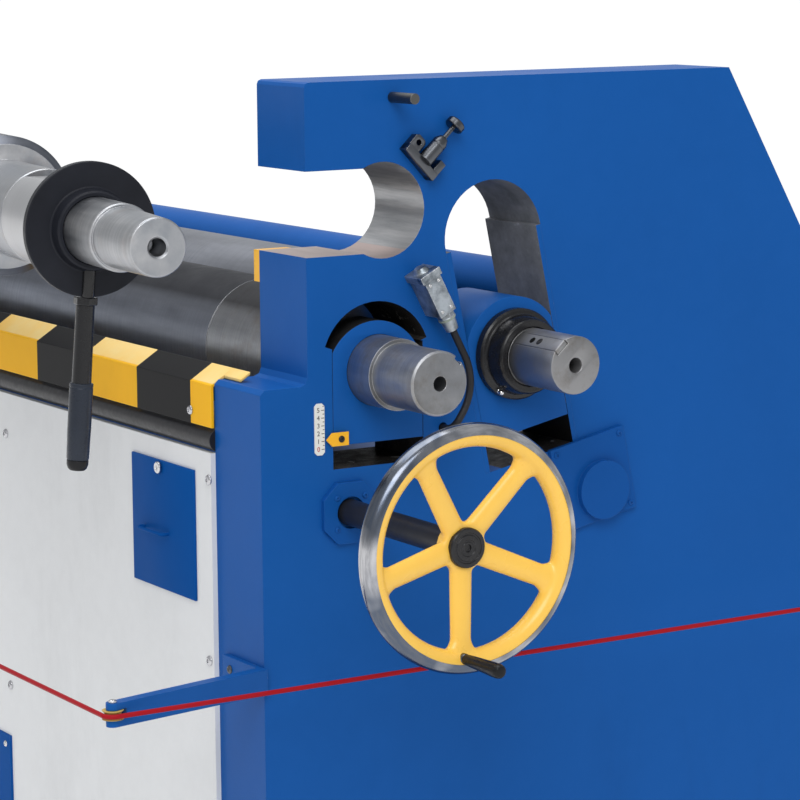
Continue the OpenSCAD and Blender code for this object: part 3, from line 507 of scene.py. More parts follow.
# painted shade for a hole that is not cut
painted_hole_shade = blackened("hole_painted_shade", (0.003, 0.003, 0.003), 0.6, rub_and_highlight=1.0, gloss=0.1)
bright = ground("bright_fitting", (0.62, 0.62, 0.63), 0.24, 0.0, 200)
spider_yellow = paint("wheel_yellow_enamel", srgb(249, 198, 84), 0.26, 0.00008, 0.001, 0.2, 0.5, chips=False)
screw_steel = ground("screw_zinc", (0.5, 0.5, 0.52), 0.22, 0.0, 60, smear=0.6)
latch_grey = ground("latch_grey_steel", (0.1, 0.105, 0.115), 0.28, 0.0, 120, smear=0.5)
gland_green = paint("gland_pale_green", srgb(150, 160, 150), 0.4, 0.0001, 0.0006, 0.2, chips=False)
ink = blackened("scale_ink", (0.03, 0.03, 0.035), 0.5, rub_and_highlight=1.0)
red_ink = paint("scale_red_ink", srgb(190, 24, 28), 0.45, chips=False)


# -------- mesh tools
def attach(obj, body, slot, material=None, stands_for=()):
    """put the piece on its body and give it its finish, the slot's unless another is given"""
    obj.data.materials.clear()
    obj.data.materials.append(material or mats[slot])
    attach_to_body(obj, body)
    if stands_for:
        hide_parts(*stands_for)
    return obj


def linked(name, data):
    """a new object in the scene"""
    obj = bpy.data.objects.new(name, data)
    scene.collection.objects.link(obj)
    return obj


def evaluated(obj):
    """the mesh that the object's curve, text or modifiers come to"""
    return bpy.data.meshes.new_from_object(obj.evaluated_get(bpy.context.evaluated_depsgraph_get()))


def mesh_of(data):
    """the plain mesh of a curve or text"""
    holder = linked(data.name, data)
    mesh = evaluated(holder)
    bpy.data.objects.remove(holder)
    return mesh


def from_bmesh(bm, name, at=Matrix(), sharp=32):
    """an object made of the drawn faces, smooth up to the sharp angle"""
    bmesh.ops.recalc_face_normals(bm, faces=bm.faces)
    bm.transform(at)
    mesh = bpy.data.meshes.new(name)
    bm.to_mesh(mesh)
    bm.free()
    mesh.shade_smooth()
    mesh.set_sharp_from_angle(angle=math.radians(sharp))
    return linked(name, mesh)


def revolve(bm, profile, at, sides, ring=False):
    """turn a (height, radius) profile about Z; a ring's profile closes on itself"""
    angles = [2 * math.pi * i / sides for i in range(sides)]
    rows = []
    for height, radius in profile:
        if radius < 1e-6:
            rows.append([bm.verts.new(at @ Vector((0, 0, height)))])
        else:
            rows.append([bm.verts.new(at @ Vector((radius * math.cos(a), radius * math.sin(a), height)))
                         for a in angles])
    pairs = list(zip(rows, rows[1:]))
    if ring:
        pairs.append((rows[-1], rows[0]))
    for low, high in pairs:
        for i in range(sides):
            j = (i + 1) % sides
            corners = [low[i % len(low)], low[j % len(low)], high[j % len(high)], high[i % len(high)]]
            unique = [v for k, v in enumerate(corners) if v not in corners[:k]]
            if len(unique) > 2:
                bm.faces.new(unique)


def turned(name, profile, at, sides, ring=False):
    """an object turned from one profile"""
    bm = bmesh.new()
    revolve(bm, profile, at, sides, ring)
    return from_bmesh(bm, name)


def block(bm, low, high, bevel, at=Matrix()):
    """a bevelled bar from corner to corner"""
    made = bmesh.ops.create_cube(bm, size=1.0)
    low, high = Vector(low), Vector(high)
    for v in made["verts"]:
        v.co = Vector(low[i] + (v.co[i] + 0.5) * (high[i] - low[i]) for i in range(3))
    edges = list({e for v in made["verts"] for e in v.link_edges})
    bevelled = bmesh.ops.bevel(bm, geom=edges, offset=bevel, segments=2, profile=0.5, affect="EDGES")
    verts = {v for f in bevelled["faces"] for v in f.verts} | {v for v in made["verts"] if v.is_valid}
    for v in verts:
        v.co = at @ v.co


def add_path(curve, points, closed):
    """straight stretches through the points"""
    spline = curve.splines.new("POLY")
    spline.points.add(len(points) - 1)
    for point, place in zip(spline.points, points):
        point.co = (*place, 1)
    spline.use_cyclic_u = closed


def plate(name, loops, x0, thick, bevel, at=Matrix()):
    """a plate with chamfered edges, drawn in Y and Z; loops after the first are holes"""
    curve = bpy.data.curves.new(name, "CURVE")
    curve.dimensions = "2D"
    curve.fill_mode = "BOTH"
    curve.extrude = thick / 2 - bevel
    curve.bevel_depth = bevel
    curve.bevel_resolution = 1
    curve.offset = -bevel
    for loop in loops:
        add_path(curve, [(y, z, 0) for y, z in loop], True)
    mesh = mesh_of(curve)
    bm = bmesh.new()
    bm.from_mesh(mesh)
    bpy.data.meshes.remove(mesh)
    bmesh.ops.remove_doubles(bm, verts=bm.verts, dist=1e-6)
    return from_bmesh(bm, name, at @ upright(x0 + thick / 2))


def upright(x, y=0.0, z=0.0):
    """stands a flat drawing up across X, its X along Y and its Y along Z"""
    return Matrix(((0, 0, 1, x), (1, 0, 0, y), (0, 1, 0, z), (0, 0, 0, 1)))


def arc(y, z, radius, start, stop, count):
    """points of a round stretch, angles in degrees"""
    angles = [math.radians(start + (stop - start) * i / (count - 1)) for i in range(count)]
    return [(y + radius * math.cos(a), z + radius * math.sin(a)) for a in angles]


SCREW_PROFILE = [(0, 0), (0, 1), (0.35, 1), (0.8, 0.8), (1, 0.5), (1, 0.42), (0.45, 0.4), (0.45, 0)]


def screw(bm, at, radius, head):
    """button head with a socket, towards +Z; radius and height in millimetres"""
    revolve(bm, mm(*((head * height, radius * reach) for height, reach in SCREW_PROFILE)), at, 24)


def screws(name, places, facing, radius, head, material=None, body="frame", slot="machined_steel"):
    """one mesh of like screws whose heads point the same way"""
    bm = bmesh.new()
    for place in places:
        screw(bm, Matrix.Translation(place) @ facing, radius, head)
    return attach(from_bmesh(bm, name), body, slot, material)


TO_FRONT = turn(90)
TO_BACK = turn(-90)
TO_DRIVE_END = turn(-90, "Y")


# -------- sliding blocks
def sliding_block(name, outline, at, body, material, stands_for):
    """bored block as thick as the end frame"""
    bore = arc(0, 0, 38.2 * MM, 0, 354, 60)
    obj = plate(name, [outline, bore], IN_X, END_X - IN_X, 0.5 * MM, at)
    attach(obj, body, "machine_blue", material, [stands_for])


def lower_block():
    """block that carries the lower roll, with a round top set a little off its bore"""
    half, foot, arc_r = 55.6 * MM, -76.5 * MM, 60 * MM
    centre_y, centre_z = -3.2 * MM, -6.8 * MM
    left = 180 - math.degrees(math.acos((half + centre_y) / arc_r))
    right = math.degrees(math.acos((half - centre_y) / arc_r))
    outline = [(-half, foot), (half, foot)] + arc(centre_y, centre_z, arc_r, right, left, 40)
    sliding_block("lower_slide_block", outline, shift(0, LOWER.y, LOWER.z), "lower_carriage", block_face,
                  "lower_block_right")


def rear_block():
    """block that carries the rear roll, leaning with its slot"""
    half, foot, top_r = 55.7 * MM, -86.5 * MM, 62 * MM
    shoulder = math.degrees(math.acos(half / top_r))
    outline = [(-half, foot), (half, foot)] + arc(0, 0, top_r, shoulder, 180 - shoulder, 32)
    at = REAR_AT @ turn(math.degrees(SLOT_LEAN))
    sliding_block("rear_slide_block", outline, at, "rear_carriage", None, "rear_block_right")


# -------- rolls
def centre_hole(end, radius):
    """the end of a profile: face, bevelled mouth and deep bore"""
    return [(end, radius + 2.2 * MM), (end - 2 * MM, radius), (end - 40 * MM, radius), (end - 44 * MM, 0)]


def upper_roll():
    """chamfered body, bush, stepped shaft and tapered end, along the swung-out axis"""
    body_0, body_1 = PIVOT_DIST - 2.311, PIVOT_DIST - BODY_END
    bush_end, step, end = PIVOT_DIST - 0.113, PIVOT_DIST + 0.129, PIVOT_DIST + 0.231
    tail_r, roll_r, bevel, neck_r, shaft_r = 45 * MM, 76 * MM, 9 * MM, 50.5 * MM, 33.5 * MM
    profile = mm((-48, 0), (-48, 44), (-47, 45))
    profile += [(body_0, tail_r), (body_0, roll_r - bevel), (body_0 + bevel, roll_r)]
    profile += [(body_1 - bevel, roll_r), (body_1, roll_r - bevel), (body_1, neck_r + 1 * MM)]
    profile += [(body_1 + 0.6 * MM, neck_r), (bush_end - 1 * MM, neck_r), (bush_end, neck_r - 1 * MM)]
    profile += [(bush_end, shaft_r), (step - 1.2 * MM, shaft_r), (step, shaft_r - 1.2 * MM)]
    profile += [(step, 30.3 * MM), (end - 1.4 * MM, 28.3 * MM), (end, 26.9 * MM)]
    profile += centre_hole(end, 8.5 * MM)
    obj = turned("upper_roll_turned", profile, SWUNG @ ALONG_X, 128)
    attach(obj, "top_roll", "roll_steel", None, ["top_roll"])


REAR_AT = shift(0, REAR.y, REAR.z)
KEY_LEAN, KEY_FROM, SHAFT_END = 41.5, 36 * MM, 117.5 * MM
KEY_AT = REAR_AT @ turn(KEY_LEAN)


def rear_roll():
    """turned roll and the keyed shaft end that stands out of the collar"""
    drive_end, body_0, body_1 = -0.994, -0.89, END_X - 0.25
    bush_end, neck_end, end = END_X - 0.11, END_X + 2 * MM, END_X + KEY_FROM
    roll_r, rim_r, bush_r, journal_r, root_r, shaft_r = (r * MM for r in (76, 74.5, 46, 38, 36, 31.2))
    profile = [(drive_end, 0), (drive_end, 37 * MM), (drive_end + 1 * MM, journal_r), (body_0, journal_r)]
    profile += [(body_0, rim_r), (body_0 + 1.5 * MM, roll_r), (body_1 - 1.5 * MM, roll_r), (body_1, rim_r)]
    profile += [(body_1, bush_r), (bush_end - 1 * MM, bush_r), (bush_end, 45 * MM), (bush_end, journal_r)]
    profile += [(neck_end, journal_r), (neck_end, root_r), (end - 6 * MM, root_r), (end - 6 * MM, shaft_r)]
    profile += [(end, shaft_r), (end, 0)]
    obj = turned("rear_roll_turned", profile, REAR_AT @ ALONG_X, 128)
    attach(obj, "rear_roll", "roll_steel", rear_steel, ["rear_roll"])
    half_w, seat = 8.5 * MM, 24.5 * MM
    edge = math.degrees(math.asin(half_w / shaft_r))
    section = arc(0, 0, shaft_r, 90 + edge, 450 - edge, 72) + [(half_w, seat), (-half_w, seat)]
    loops = [section, arc(0, 0, 8 * MM, 0, 350, 36)]
    tip = plate("rear_shaft_end", loops, end, SHAFT_END - KEY_FROM, 1.6 * MM, KEY_AT)
    attach(tip, "rear_roll", "machined_steel", end_steel)


def rear_key():
    """flat key with softened edges, a screw and a jacking hole that is a black disc painted on as shade"""
    half_w, low, top = 8 * MM, 24.6 * MM, 30.5 * MM
    near, far = END_X + KEY_FROM + 0.6 * MM, END_X + SHAFT_END - 0.6 * MM
    bm = bmesh.new()
    block(bm, (near, -half_w, low), (far, half_w, top), 0.9 * MM, KEY_AT)
    attach(from_bmesh(bm, "flat_key"), "rear_roll", "machined_steel", end_steel, ["rear_key"])
    head = screws("flat_key_screw", [(END_X + 79 * MM, 0, top - 0.4 * MM)], Matrix(), 4.4, 1.2,
                  None, "rear_roll", "blackened_steel")
    head.data.transform(KEY_AT)
    # painted shade: a black disc stands for the jacking hole's dark inside
    profile = mm((29.5, 0), (29.5, 4), (30.7, 3.8), (30.7, 3.4), (30.55, 0))
    hole = turned("flat_key_hole", profile, KEY_AT @ shift(END_X + 66 * MM), 24)
    attach(hole, "rear_roll", "blackened_steel", painted_hole_shade)


def rear_collar():
    """bearing collar with a stepped, slightly tapered boss and a grease nipple"""
    bore, lip = 36.6, 31.8
    profile = mm((0, bore), (0, 49), (1, 50), (10, 50), (12, 48), (12.6, 44.6), (14, 43.4), (33, 40.9),
                 (34.6, 40.2), (36, 38.4), (36, lip + 1), (35.2, lip), (31, lip), (31, bore))
    at = shift(END_X, REAR.y, REAR.z) @ ALONG_X
    collar = turned("bearing_collar", profile, at, 96, True)
    attach(collar, "rear_carriage", "blackened_steel", glossy_black, ["rear_collar"])
    profile = mm((0, 3), (2.6, 3), (3.4, 2.2), (6.5, 2.2), (7.2, 2.9), (8.6, 2.6), (9.8, 1.4), (9.8, 0))
    at = at @ turn(235, "Z") @ shift(0, 46.4 * MM, 10 * MM) @ turn(-12)
    nipple = turned("grease_nipple", profile, at, 20)
    attach(nipple, "rear_carriage", "machined_steel", bright)


# -------- lock ring and lever
LEVER_LEAN = turn(180 - 4.4)
RING_AT = SWUNG @ shift(PIVOT_DIST + 22 * MM)


def lock_ring():
    """thin ring with a raised boss and a radial bar that holds the lever"""
    bore, rim, boss = 33.6, 67.5, 41.5
    profile = mm((0, bore), (0, rim - 0.8), (0.8, rim), (9.2, rim), (10, rim - 0.8), (10, boss + 1.2),
                 (11, boss), (23.5, boss - 2.4), (25, boss - 4), (25, bore + 1), (24, bore))
    ring = turned("lock_ring_turned", profile, RING_AT @ ALONG_X, 128, True)
    attach(ring, "lock", "blackened_steel", ring_black, ["lock_ring"])
    profile = mm((38, 0), (38, 6.8), (66, 6.8), (67.6, 6), (67.6, 0))
    bar = turned("lock_ring_bar", profile, RING_AT @ shift(9 * MM) @ LEVER_LEAN, 40)
    attach(bar, "lock", "blackened_steel", glossy_black)


def lock_lever():
    """hexagon nut, plain rod, grip with a groove and cap"""
    at = RING_AT @ shift(3 * MM) @ LEVER_LEAN
    nut = bmesh.new()
    revolve(nut, mm((67.8, 0), (67.8, 11.4), (68.6, 12.2), (74.8, 12.2), (75.6, 11.4), (75.6, 9.4), (79, 9.9),
                    (79.6, 9.3), (79.6, 0)), at, 6)
    attach(from_bmesh(nut, "lever_nut", sharp=20), "lock", "blackened_steel", glossy_black)
    rod = turned("lever_rod", mm((76, 0), (76, 9.4), (154.5, 9.9), (154.5, 0)), at, 48)
    attach(rod, "lock", "blackened_steel", glossy_black, ["lock_lever"])
    profile = mm((154, 0), (154, 9.9), (154, 11.2), (154.8, 12), (157.5, 12), (158.3, 11.4), (159, 12),
                 (200, 11.9), (230, 11.3), (231.4, 10.6), (231.4, 0))
    attach(turned("lever_grip", profile, at, 56), "lock", "black_plastic", grip_black)
    profile = mm((231.4, 0), (231.4, 10.2), (232, 11), (236, 10.9), (240, 9.6), (242, 7.4), (242, 3),
                 (241, 2.6), (241, 0))
    attach(turned("lever_cap", profile, at, 48), "lock", "black_plastic")


# -------- handwheel
RIM_R, RIM_MID, SPLIT = 12.35 * MM, 114.4 * MM, 1 * MM  # tube's radius, its middle, edge of the bright part
SPOKE_LEAN, CRANK_LEAN, CRANK_ARM = -5.5, -6.5, 109.5 * MM
WHEEL_AT = Matrix.Translation(WHEEL) @ turn(SPOKE_LEAN)
CRANK_AT = Matrix.Translation(WHEEL) @ turn(CRANK_LEAN) @ shift(0, 0, -CRANK_ARM)


def rim_section(radius, start, stop, count):
    """a stretch of the rim tube's round section, as a profile"""
    return [(z, RIM_MID + r) for r, z in arc(0, 0, radius, start, stop, count)]


def bright_rim():
    """outer part of the rim tube, polished"""
    open_to = math.degrees(math.acos(SPLIT / RIM_R))
    rim = turned("bright_rim", rim_section(RIM_R, -open_to, open_to, 28), WHEEL_AT @ ALONG_X, 160, True)
    attach(rim, "handwheel", "rim_chrome", None, ["wheel_rim"])


def frustum(bm, low, high, at):
    """elliptical bar along Z: (height, half width in X, half width in Y) at each end, in millimetres"""
    sides = 32
    angles = [2 * math.pi * i / sides for i in range(sides)]
    loops = [[bm.verts.new(at @ Vector((x * MM * math.cos(a), y * MM * math.sin(a), z * MM))) for a in angles]
             for z, x, y in (low, high)]
    for i in range(sides):
        bm.faces.new((loops[0][i], loops[0][i - 1], loops[1][i - 1], loops[1][i]))
    bm.faces.new(loops[0])
    bm.faces.new(loops[1][::-1])


def spider():
    """cast wheel: hub, five spokes that flare into the rim, blended where they meet"""
    bm = bmesh.new()
    revolve(bm, rim_section(RIM_R - 0.4 * MM, 0, 345, 24), ALONG_X, 128, True)
    revolve(bm, mm((-25, 0), (-25, 24), (-7, 25.4), (-7, 0)), ALONG_X, 64)
    lean = turn(-8, "Y")
    for i in range(5):
        spoke = turn(72 * i) @ shift(-1 * MM, 0, -108 * MM) @ lean
        frustum(bm, (0, 7.4, 11.6), (98, 8.2, 12.8), spoke)
        frustum(bm, (-1, 8.6, 20), (15, 7.5, 11.8), spoke)
    obj = from_bmesh(bm, "wheel_casting")
    skin = obj.modifiers.new("skin", "REMESH")
    skin.mode = "VOXEL"
    skin.voxel_size = 1.7 * MM
    fillet = obj.modifiers.new("fillet", "SMOOTH")
    fillet.factor = 0.6
    fillet.iterations = 9
    casting = evaluated(obj)
    obj.modifiers.clear()
    obj.data = casting
    casting.transform(WHEEL_AT)
    casting.shade_smooth()
    attach(obj, "handwheel", "safety_yellow", spider_yellow, ["wheel_spider"])


def wheel_fittings():
    """ringed centre cap, crank root and revolving handle"""
    profile = mm((-7, 0), (-7, 20.2), (-6.6, 20.6), (-2.6, 20.4), (-1.2, 19.2), (-1.2, 16), (-2.4, 15.4),
                 (-2.4, 13.6), (-1.4, 13), (-1.2, 9), (-2.2, 8.2), (-2.2, 6.4), (-1.4, 6), (-1.6, 4),
                 (-4, 3.6), (-4, 0))
    cap = turned("ringed_cap", profile, WHEEL_AT @ ALONG_X, 72)
    attach(cap, "handwheel", "black_plastic", glossy_black, ["wheel_cap"])
    profile = mm((6, 0), (6, 5.6), (11.4, 5.6), (12.3, 5), (12.3, 0))
    attach(turned("crank_root", profile, CRANK_AT @ ALONG_X, 36), "handwheel", "rim_chrome")
    profile = mm((12.8, 0), (12.8, 4.8), (13.6, 5.4), (24, 6), (60, 7.4), (70, 7.5), (73.6, 6.9), (75.4, 5.4),
                 (76, 3.4), (76, 0))
    grip = turned("crank_grip", profile, CRANK_AT @ ALONG_X, 48)
    attach(grip, "crank", "black_plastic", None, ["crank_handle"])


# -------- fittings on the drop end
def on_end_face(behind_seat, height, lean, out=0.0):
    """a leaning place on the outer face, so many metres behind the seat's middle"""
    return shift(END_X + out, SEAT_Y + behind_seat, height) @ turn(lean)


def latch():
    """bored lug, bar and spring plunger, set askew on the end frame"""
    at = on_end_face(45 * MM, 1.117, -47)
    bar = bmesh.new()
    block(bar, *mm((0, -26, -9.5), (14, 22.5, 0)), 1.1 * MM, at)
    block(bar, *mm((0, 14, -9.5), (13.6, 22.5, 14)), 1.1 * MM, at)
    attach(from_bmesh(bar, "latch_bar"), "frame", "blackened_steel", latch_grey, ["latch"])
    outline = mm((-26, -9.5), (-10.5, -9.5), (-10.5, 12), (-13.5, 15), (-23, 15), (-26, 12))
    hole = arc(-18 * MM, 8 * MM, 3 * MM, 0, 340, 18)
    lug = plate("latch_lug", [outline, hole], 0, 11 * MM, 0.9 * MM, at)
    attach(lug, "frame", "blackened_steel", latch_grey)
    housing = mm((0, 0), (0, 8.3), (21, 8.3), (22, 7.6), (23, 8.3), (27, 8.3), (33, 5), (33.6, 2.6),
                 (48.6, 2.6))
    knob = mm((49, 9.4), (50, 10.5), (55.4, 10.5), (57, 9.2), (57, 4), (56.2, 3.4), (56.2, 0))
    plunger = turned("latch_plunger", housing + knob, at @ shift(12 * MM, 0, -1 * MM), 48)
    attach(plunger, "frame", "blackened_steel", latch_grey)


def switch_fittings():
    """cover screws and gland ring of the limit switch"""
    at = on_end_face(52 * MM, 0.95, 27.7)
    heads = bmesh.new()
    for y, z in ((4.5, 5), (16.5, 5), (4.5, 38), (16.5, 38)):
        screw(heads, at @ shift(31 * MM, y * MM, z * MM) @ ALONG_X, 2.1, 1.2)
    attach(from_bmesh(heads, "switch_screws"), "frame", "machined_steel", bright)
    profile = mm((-6.4, 8.2), (-7, 9.8), (-8.6, 9.8), (-9.4, 8.4), (-9.4, 7))
    ring = turned("switch_gland_ring", profile, at @ shift(20 * MM, 12 * MM), 36, True)
    attach(ring, "frame", "switch_metal", gland_green)


def scale_figures():
    """short ticks and figures on the white strip; the lowest figure is red"""
    low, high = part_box("scale_strip")
    face, base, step, margin, half_line = high.x, 818.3 * MM, 8.3 * MM, 0.4 * MM, 0.35 * MM
    ticks = bmesh.new()
    for i in range(12):
        z = base + i * step / 2
        wide = 3.6 * MM if i % 2 == 0 else 2 * MM
        block(ticks, (face, high.y - wide - margin, z - half_line),
              (face + 0.12 * MM, high.y - margin, z + half_line), 0.03 * MM)
    attach(from_bmesh(ticks, "scale_ticks"), "frame", "scale_white", ink)
    for i, sign in enumerate("012345"):
        text = bpy.data.curves.new("scale_text_" + sign, "FONT")
        text.body = sign
        text.size = 7.2 * MM
        text.align_x, text.align_y = "CENTER", "CENTER"
        text.extrude = 0.08 * MM
        shape = mesh_of(text)
        shape.transform(upright(face + 0.09 * MM, low.y + 4.4 * MM, base + i * step))
        attach(linked("scale_figure_" + sign, shape), "frame", "scale_white", ink if i else red_ink)


def end_face_fittings():
    """screws of the pointer, the shaft boss and the adjuster cover, and the cover's pads"""
    pointer = (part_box("scale_pointer")[1].x, LOWER.y - 48 * MM, LOWER.z - 69 * MM)
    screws("pointer_screw", [pointer], ALONG_X, 3.6, 2, None, "lower_carriage", "blackened_steel")
    cover_out = 6 * MM
    cover = on_end_face(268 * MM, 0.752, 11.5, cover_out)
    heads = bmesh.new()
    for y, z in ((-43, -41), (43, -41), (43, 41), (-43, 41)):
        screw(heads, cover @ shift(0, y * MM, z * MM) @ ALONG_X, 3.4, 2)
    for y, z in ((8, 14), (-16, -28), (32, -28)):
        block(heads, *mm((0, y - 4, z - 3), (5.4, y + 4, z + 3)), 0.8 * MM, cover)
    attach(from_bmesh(heads, "cover_screws"), "frame", "base_blue")
    boss_out, spread = 6 * MM, 24 * MM
    boss = [(END_X + boss_out, WHEEL.y + spread * math.sin(a), WHEEL.z + spread * math.cos(a))
            for a in (math.radians(45 + 90 * i) for i in range(4))]
    screws("boss_screws", boss, ALONG_X, 3.2, 1.8, slot="base_blue")


def rope_fittings():
    """root screws of the rope arms and the pulley pins"""
    low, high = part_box("rope_pulleys")
    rope_z = (low.z + high.z) / 2
    root_y, root_z, pulley_y = 0.406, rope_z - 13.5 * MM, 0.617
    pin = mm((-12.6, 0), (-12.6, 2.8), (12.2, 2.8), (12.2, 4.4), (14, 4.2), (14.8, 3), (14.8, 0))
    front, back, pins = bmesh.new(), bmesh.new(), bmesh.new()
    for side in (1, -1):
        for inset in (16 * MM, 64 * MM):
            x = side * (END_X - inset)
            screw(front, shift(x, -root_y, root_z) @ TO_FRONT, 4.6, 2.6)
            screw(back, shift(x, root_y, root_z) @ TO_BACK, 4.6, 2.6)
        for depth in (1, -1):
            revolve(pins, pin, shift(side * (END_X + 82 * MM), depth * pulley_y, rope_z), 20)
    attach(from_bmesh(front, "rope_arm_screws_front"), "frame", "machined_steel", latch_grey)
    attach(from_bmesh(back, "rope_arm_screws_back"), "frame", "machined_steel", bright)
    attach(from_bmesh(pins, "pulley_pins"), "frame", "machined_steel", bright)


# -------- cabinet fittings
def hatch_door():
    """door with softened edges and a bent wire pull"""
    low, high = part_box("service_hatch")
    face = low.y + 11 * MM
    door = bmesh.new()
    block(door, (low.x, face, low.z), (high.x, high.y, high.z), 0.7 * MM)
    attach(from_bmesh(door, "hatch_door"), "frame", "machine_blue", hatch_blue, ["service_hatch"])
    bend, out, height = 5 * MM, face - 8.8 * MM, low.z + 64 * MM
    near, far = low.x + 29 * MM, low.x + 86 * MM
    angles = [math.pi / 2 * i / 8 for i in range(9)]
    path = [(near, face + 1 * MM, height)]
    path += [(near + bend - bend * math.cos(a), out + bend - bend * math.sin(a), height) for a in angles]
    path += [(near + far - x, y, z) for x, y, z in reversed(path)]
    wire = bpy.data.curves.new("hatch_pull", "CURVE")
    wire.dimensions = "3D"
    wire.bevel_depth = 2 * MM
    wire.bevel_resolution = 5
    wire.use_fill_caps = True
    add_path(wire, path, False)
    shape = mesh_of(wire)
    shape.shade_smooth()
    attach(linked("hatch_pull", shape), "frame", "machine_blue", hatch_blue)


def cabinet_fittings():
    """panel screws, guard screws, hatch lock and the screws of the covers"""
    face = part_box("front_panel")[0].y
    rows = [(0.104, 0.778), (0.109, 0.579), (0.115, 0.1), (0.626, 0.757), (0.632, 0.442), (0.63, 0.1)]
    rows += [(back, z) for back in (1.15, 1.67, 2.19) for z in (0.757, 0.442, 0.1)]
    places = [(END_X - back, face, z) for back, z in rows]
    screws("panel_screws", places, TO_FRONT, 5.6, 3.4, screw_steel)
    face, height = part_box("striped_guard")[0].y, 0.848
    places = [(END_X - BAND_START - 4 * BAND_WIDTH * i, face, height) for i in range(5)]
    screws("guard_screws", places, TO_FRONT, 5.2, 3.2, screw_steel)
    low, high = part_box("service_hatch")
    profile = mm((0, 0), (0, 6.6), (1.6, 6.6), (2.4, 5.8), (2.4, 2.6), (1.2, 2.4), (1.2, 0))
    at = shift(low.x + 69 * MM, low.y + 9 * MM, high.z - 8 * MM) @ TO_FRONT
    attach(turned("hatch_lock", profile, at, 32), "frame", "machined_steel", bright)
    low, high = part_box("lower_cover")
    inset = 12 * MM
    places = [(x, low.y, z) for x in (low.x + inset, high.x - inset)
              for z in (low.z + inset, high.z - inset)]
    screws("lower_cover_screws", places, TO_FRONT, 4, 2.2, bright)
    low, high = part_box("rear_panel")
    inset, pitch = 0.03, 0.555
    places = [(low.x + inset + pitch * i, high.y, z) for i in range(5)
              for z in (low.z + inset, high.z - inset)]
    screws("rear_panel_screws", places, TO_BACK, 4.4, 2.4, bright)


def guard_lap():
    """the guard's sloping flange runs on over the end frame's ledge where it clears it"""
    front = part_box("striped_guard")[0].y
    rise, near, back, thick = 17 * MM, 15.6 * MM, 27 * MM, 3 * MM
    height = BEND_Z + rise * near / back
    outline = [(front + near, height - thick), (front + back, BEND_Z + rise - thick)]
    outline += [(front + back, BEND_Z + rise), (front + near, height)]
    obj = plate("guard_flange_end", [outline], IN_X, 38 * MM, 0.3 * MM)
    attach(obj, "frame", "safety_yellow", stripes)


def housing_door():
    """sheet cover on the drive housing's outer side, with its screws"""
    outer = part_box("drive_housing")[0].x
    half_w, foot, top, inset, thick = 0.32, 0.12, 0.82, 0.02, 3 * MM
    door = bmesh.new()
    block(door, (outer - thick, -half_w, foot), (outer, half_w, top), 1.2 * MM)
    attach(from_bmesh(door, "drive_cover"), "frame", "base_blue")
    places = [(outer - thick, y, z) for y in (inset - half_w, 0, half_w - inset)
              for z in (foot + inset, top - inset)]
    screws("drive_cover_screws", places, TO_DRIVE_END, 5, 2.6, bright)


for make in (lower_block, rear_block, upper_roll, rear_roll, rear_key, rear_collar, lock_ring, lock_lever,
             bright_rim, spider, wheel_fittings, latch, switch_fittings, scale_figures, end_face_fittings,
             rope_fittings, cabinet_fittings, hatch_door, guard_lap, housing_door):
    make()

# -------- stage, light and camera
WHITE = (1, 1, 1, 1)
SKY, SKY_STRENGTH = (0.96, 0.98, 1.0, 1), 0.6
FLOOR_HALF, FLOOR_GREY = 60.0, (0.84, 0.84, 0.84, 1)
FLOOR_GLOW, GLOW_SHARE = 1.38, 0.6  # what the camera or a mirror sees of the floor glows, to read as white

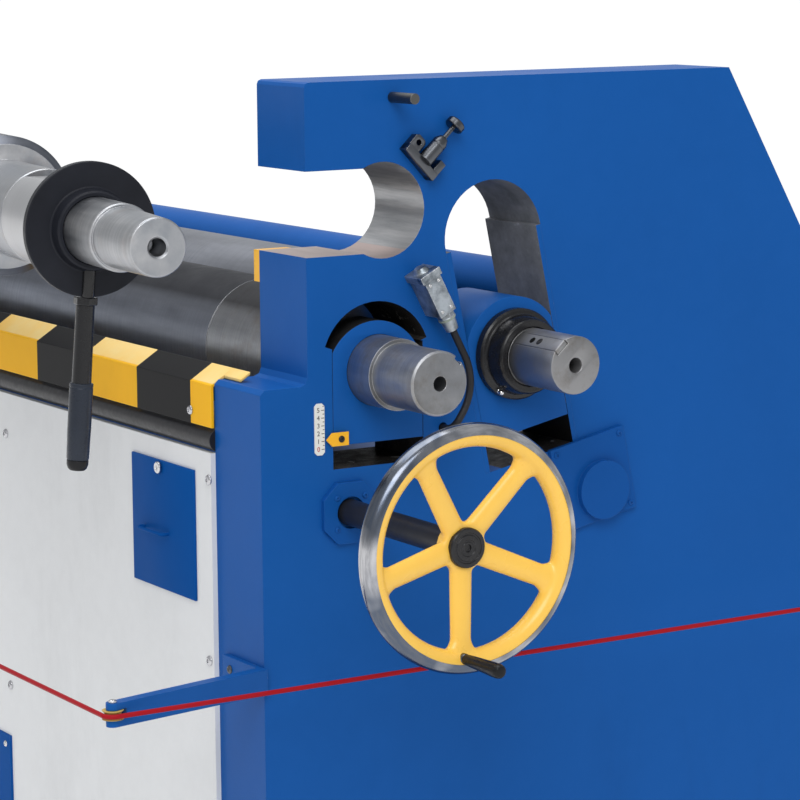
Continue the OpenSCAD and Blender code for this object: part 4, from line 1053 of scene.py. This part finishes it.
g = Graph("floor_pale")
paths = g.add("LightPath").outputs
seen = g.math("MAXIMUM", paths["Is Camera Ray"], paths["Is Glossy Ray"])
glow = g.add("Emission", {"Color": WHITE, "Strength": FLOOR_GLOW})
soft = g.add("BsdfDiffuse", {"Color": FLOOR_GREY})
share = g.math("MULTIPLY", seen, GLOW_SHARE)
blend = g.add("MixShader", {0: share, 1: soft.outputs[0], 2: glow.outputs[0]})
g.put(g.out.inputs[0], blend.outputs[0])
floor_mesh = bpy.data.meshes.new("floor")
corners = [(x * FLOOR_HALF, y * FLOOR_HALF, 0) for x, y in ((-1, -1), (1, -1), (1, 1), (-1, 1))]
floor_mesh.from_pydata(corners, [], [(0, 1, 2, 3)])
floor_mesh.materials.append(g.owner)
floor = linked("floor", floor_mesh)

g = Graph("studio", bpy.data.worlds, "OutputWorld")
scene.world = g.owner
paths = g.add("LightPath").outputs
direct = g.math("MAXIMUM", paths["Is Camera Ray"], paths["Is Transmission Ray"])
sky = g.add("Background", {"Color": SKY, "Strength": SKY_STRENGTH})
white = g.add("Background", {"Color": WHITE})
pick = g.add("MixShader", {0: direct, 1: sky.outputs[0], 2: white.outputs[0]})
g.put(g.out.inputs[0], pick.outputs[0])


def lamp(name, where, towards, size, power):
    """a rectangular area light aimed at a point"""
    light = bpy.data.lights.new(name, "AREA")
    light.shape = "RECTANGLE"
    light.size, light.size_y = size
    light.energy = power
    obj = linked(name, light)
    obj.location = where
    obj.rotation_euler = (Vector(towards) - Vector(where)).to_track_quat("-Z", "Y").to_euler()


lamp("key", (5.2, -2.6, 4.4), (1.4, -0.2, 0.9), (3.0, 3.0), 150)
lamp("top", (0.2, -0.6, 4.6), (0.2, -0.2, 0.9), (4.5, 2.5), 110)

YAW, PITCH, ROLL = math.radians(58.3), math.radians(8.75), math.radians(-0.45)
STANDPOINT = (4.1863, -1.889, 1.348)
ahead = Vector((-math.sin(YAW) * math.cos(PITCH), math.cos(YAW) * math.cos(PITCH), -math.sin(PITCH)))
level_side = ahead.cross(Vector((0, 0, 1))).normalized()
level_up = level_side.cross(ahead)
side = level_side * math.cos(ROLL) + level_up * math.sin(ROLL)
up = level_up * math.cos(ROLL) - level_side * math.sin(ROLL)
lens = bpy.data.cameras.new("camera")
lens.lens, lens.sensor_width = 135.0, 36.0
lens.clip_end = 200.0
camera = linked("camera", lens)
camera.matrix_world = Matrix.Translation(STANDPOINT) @ Matrix((side, up, -ahead)).transposed().to_4x4()
scene.camera = camera
scene.view_settings.view_transform = "Standard"
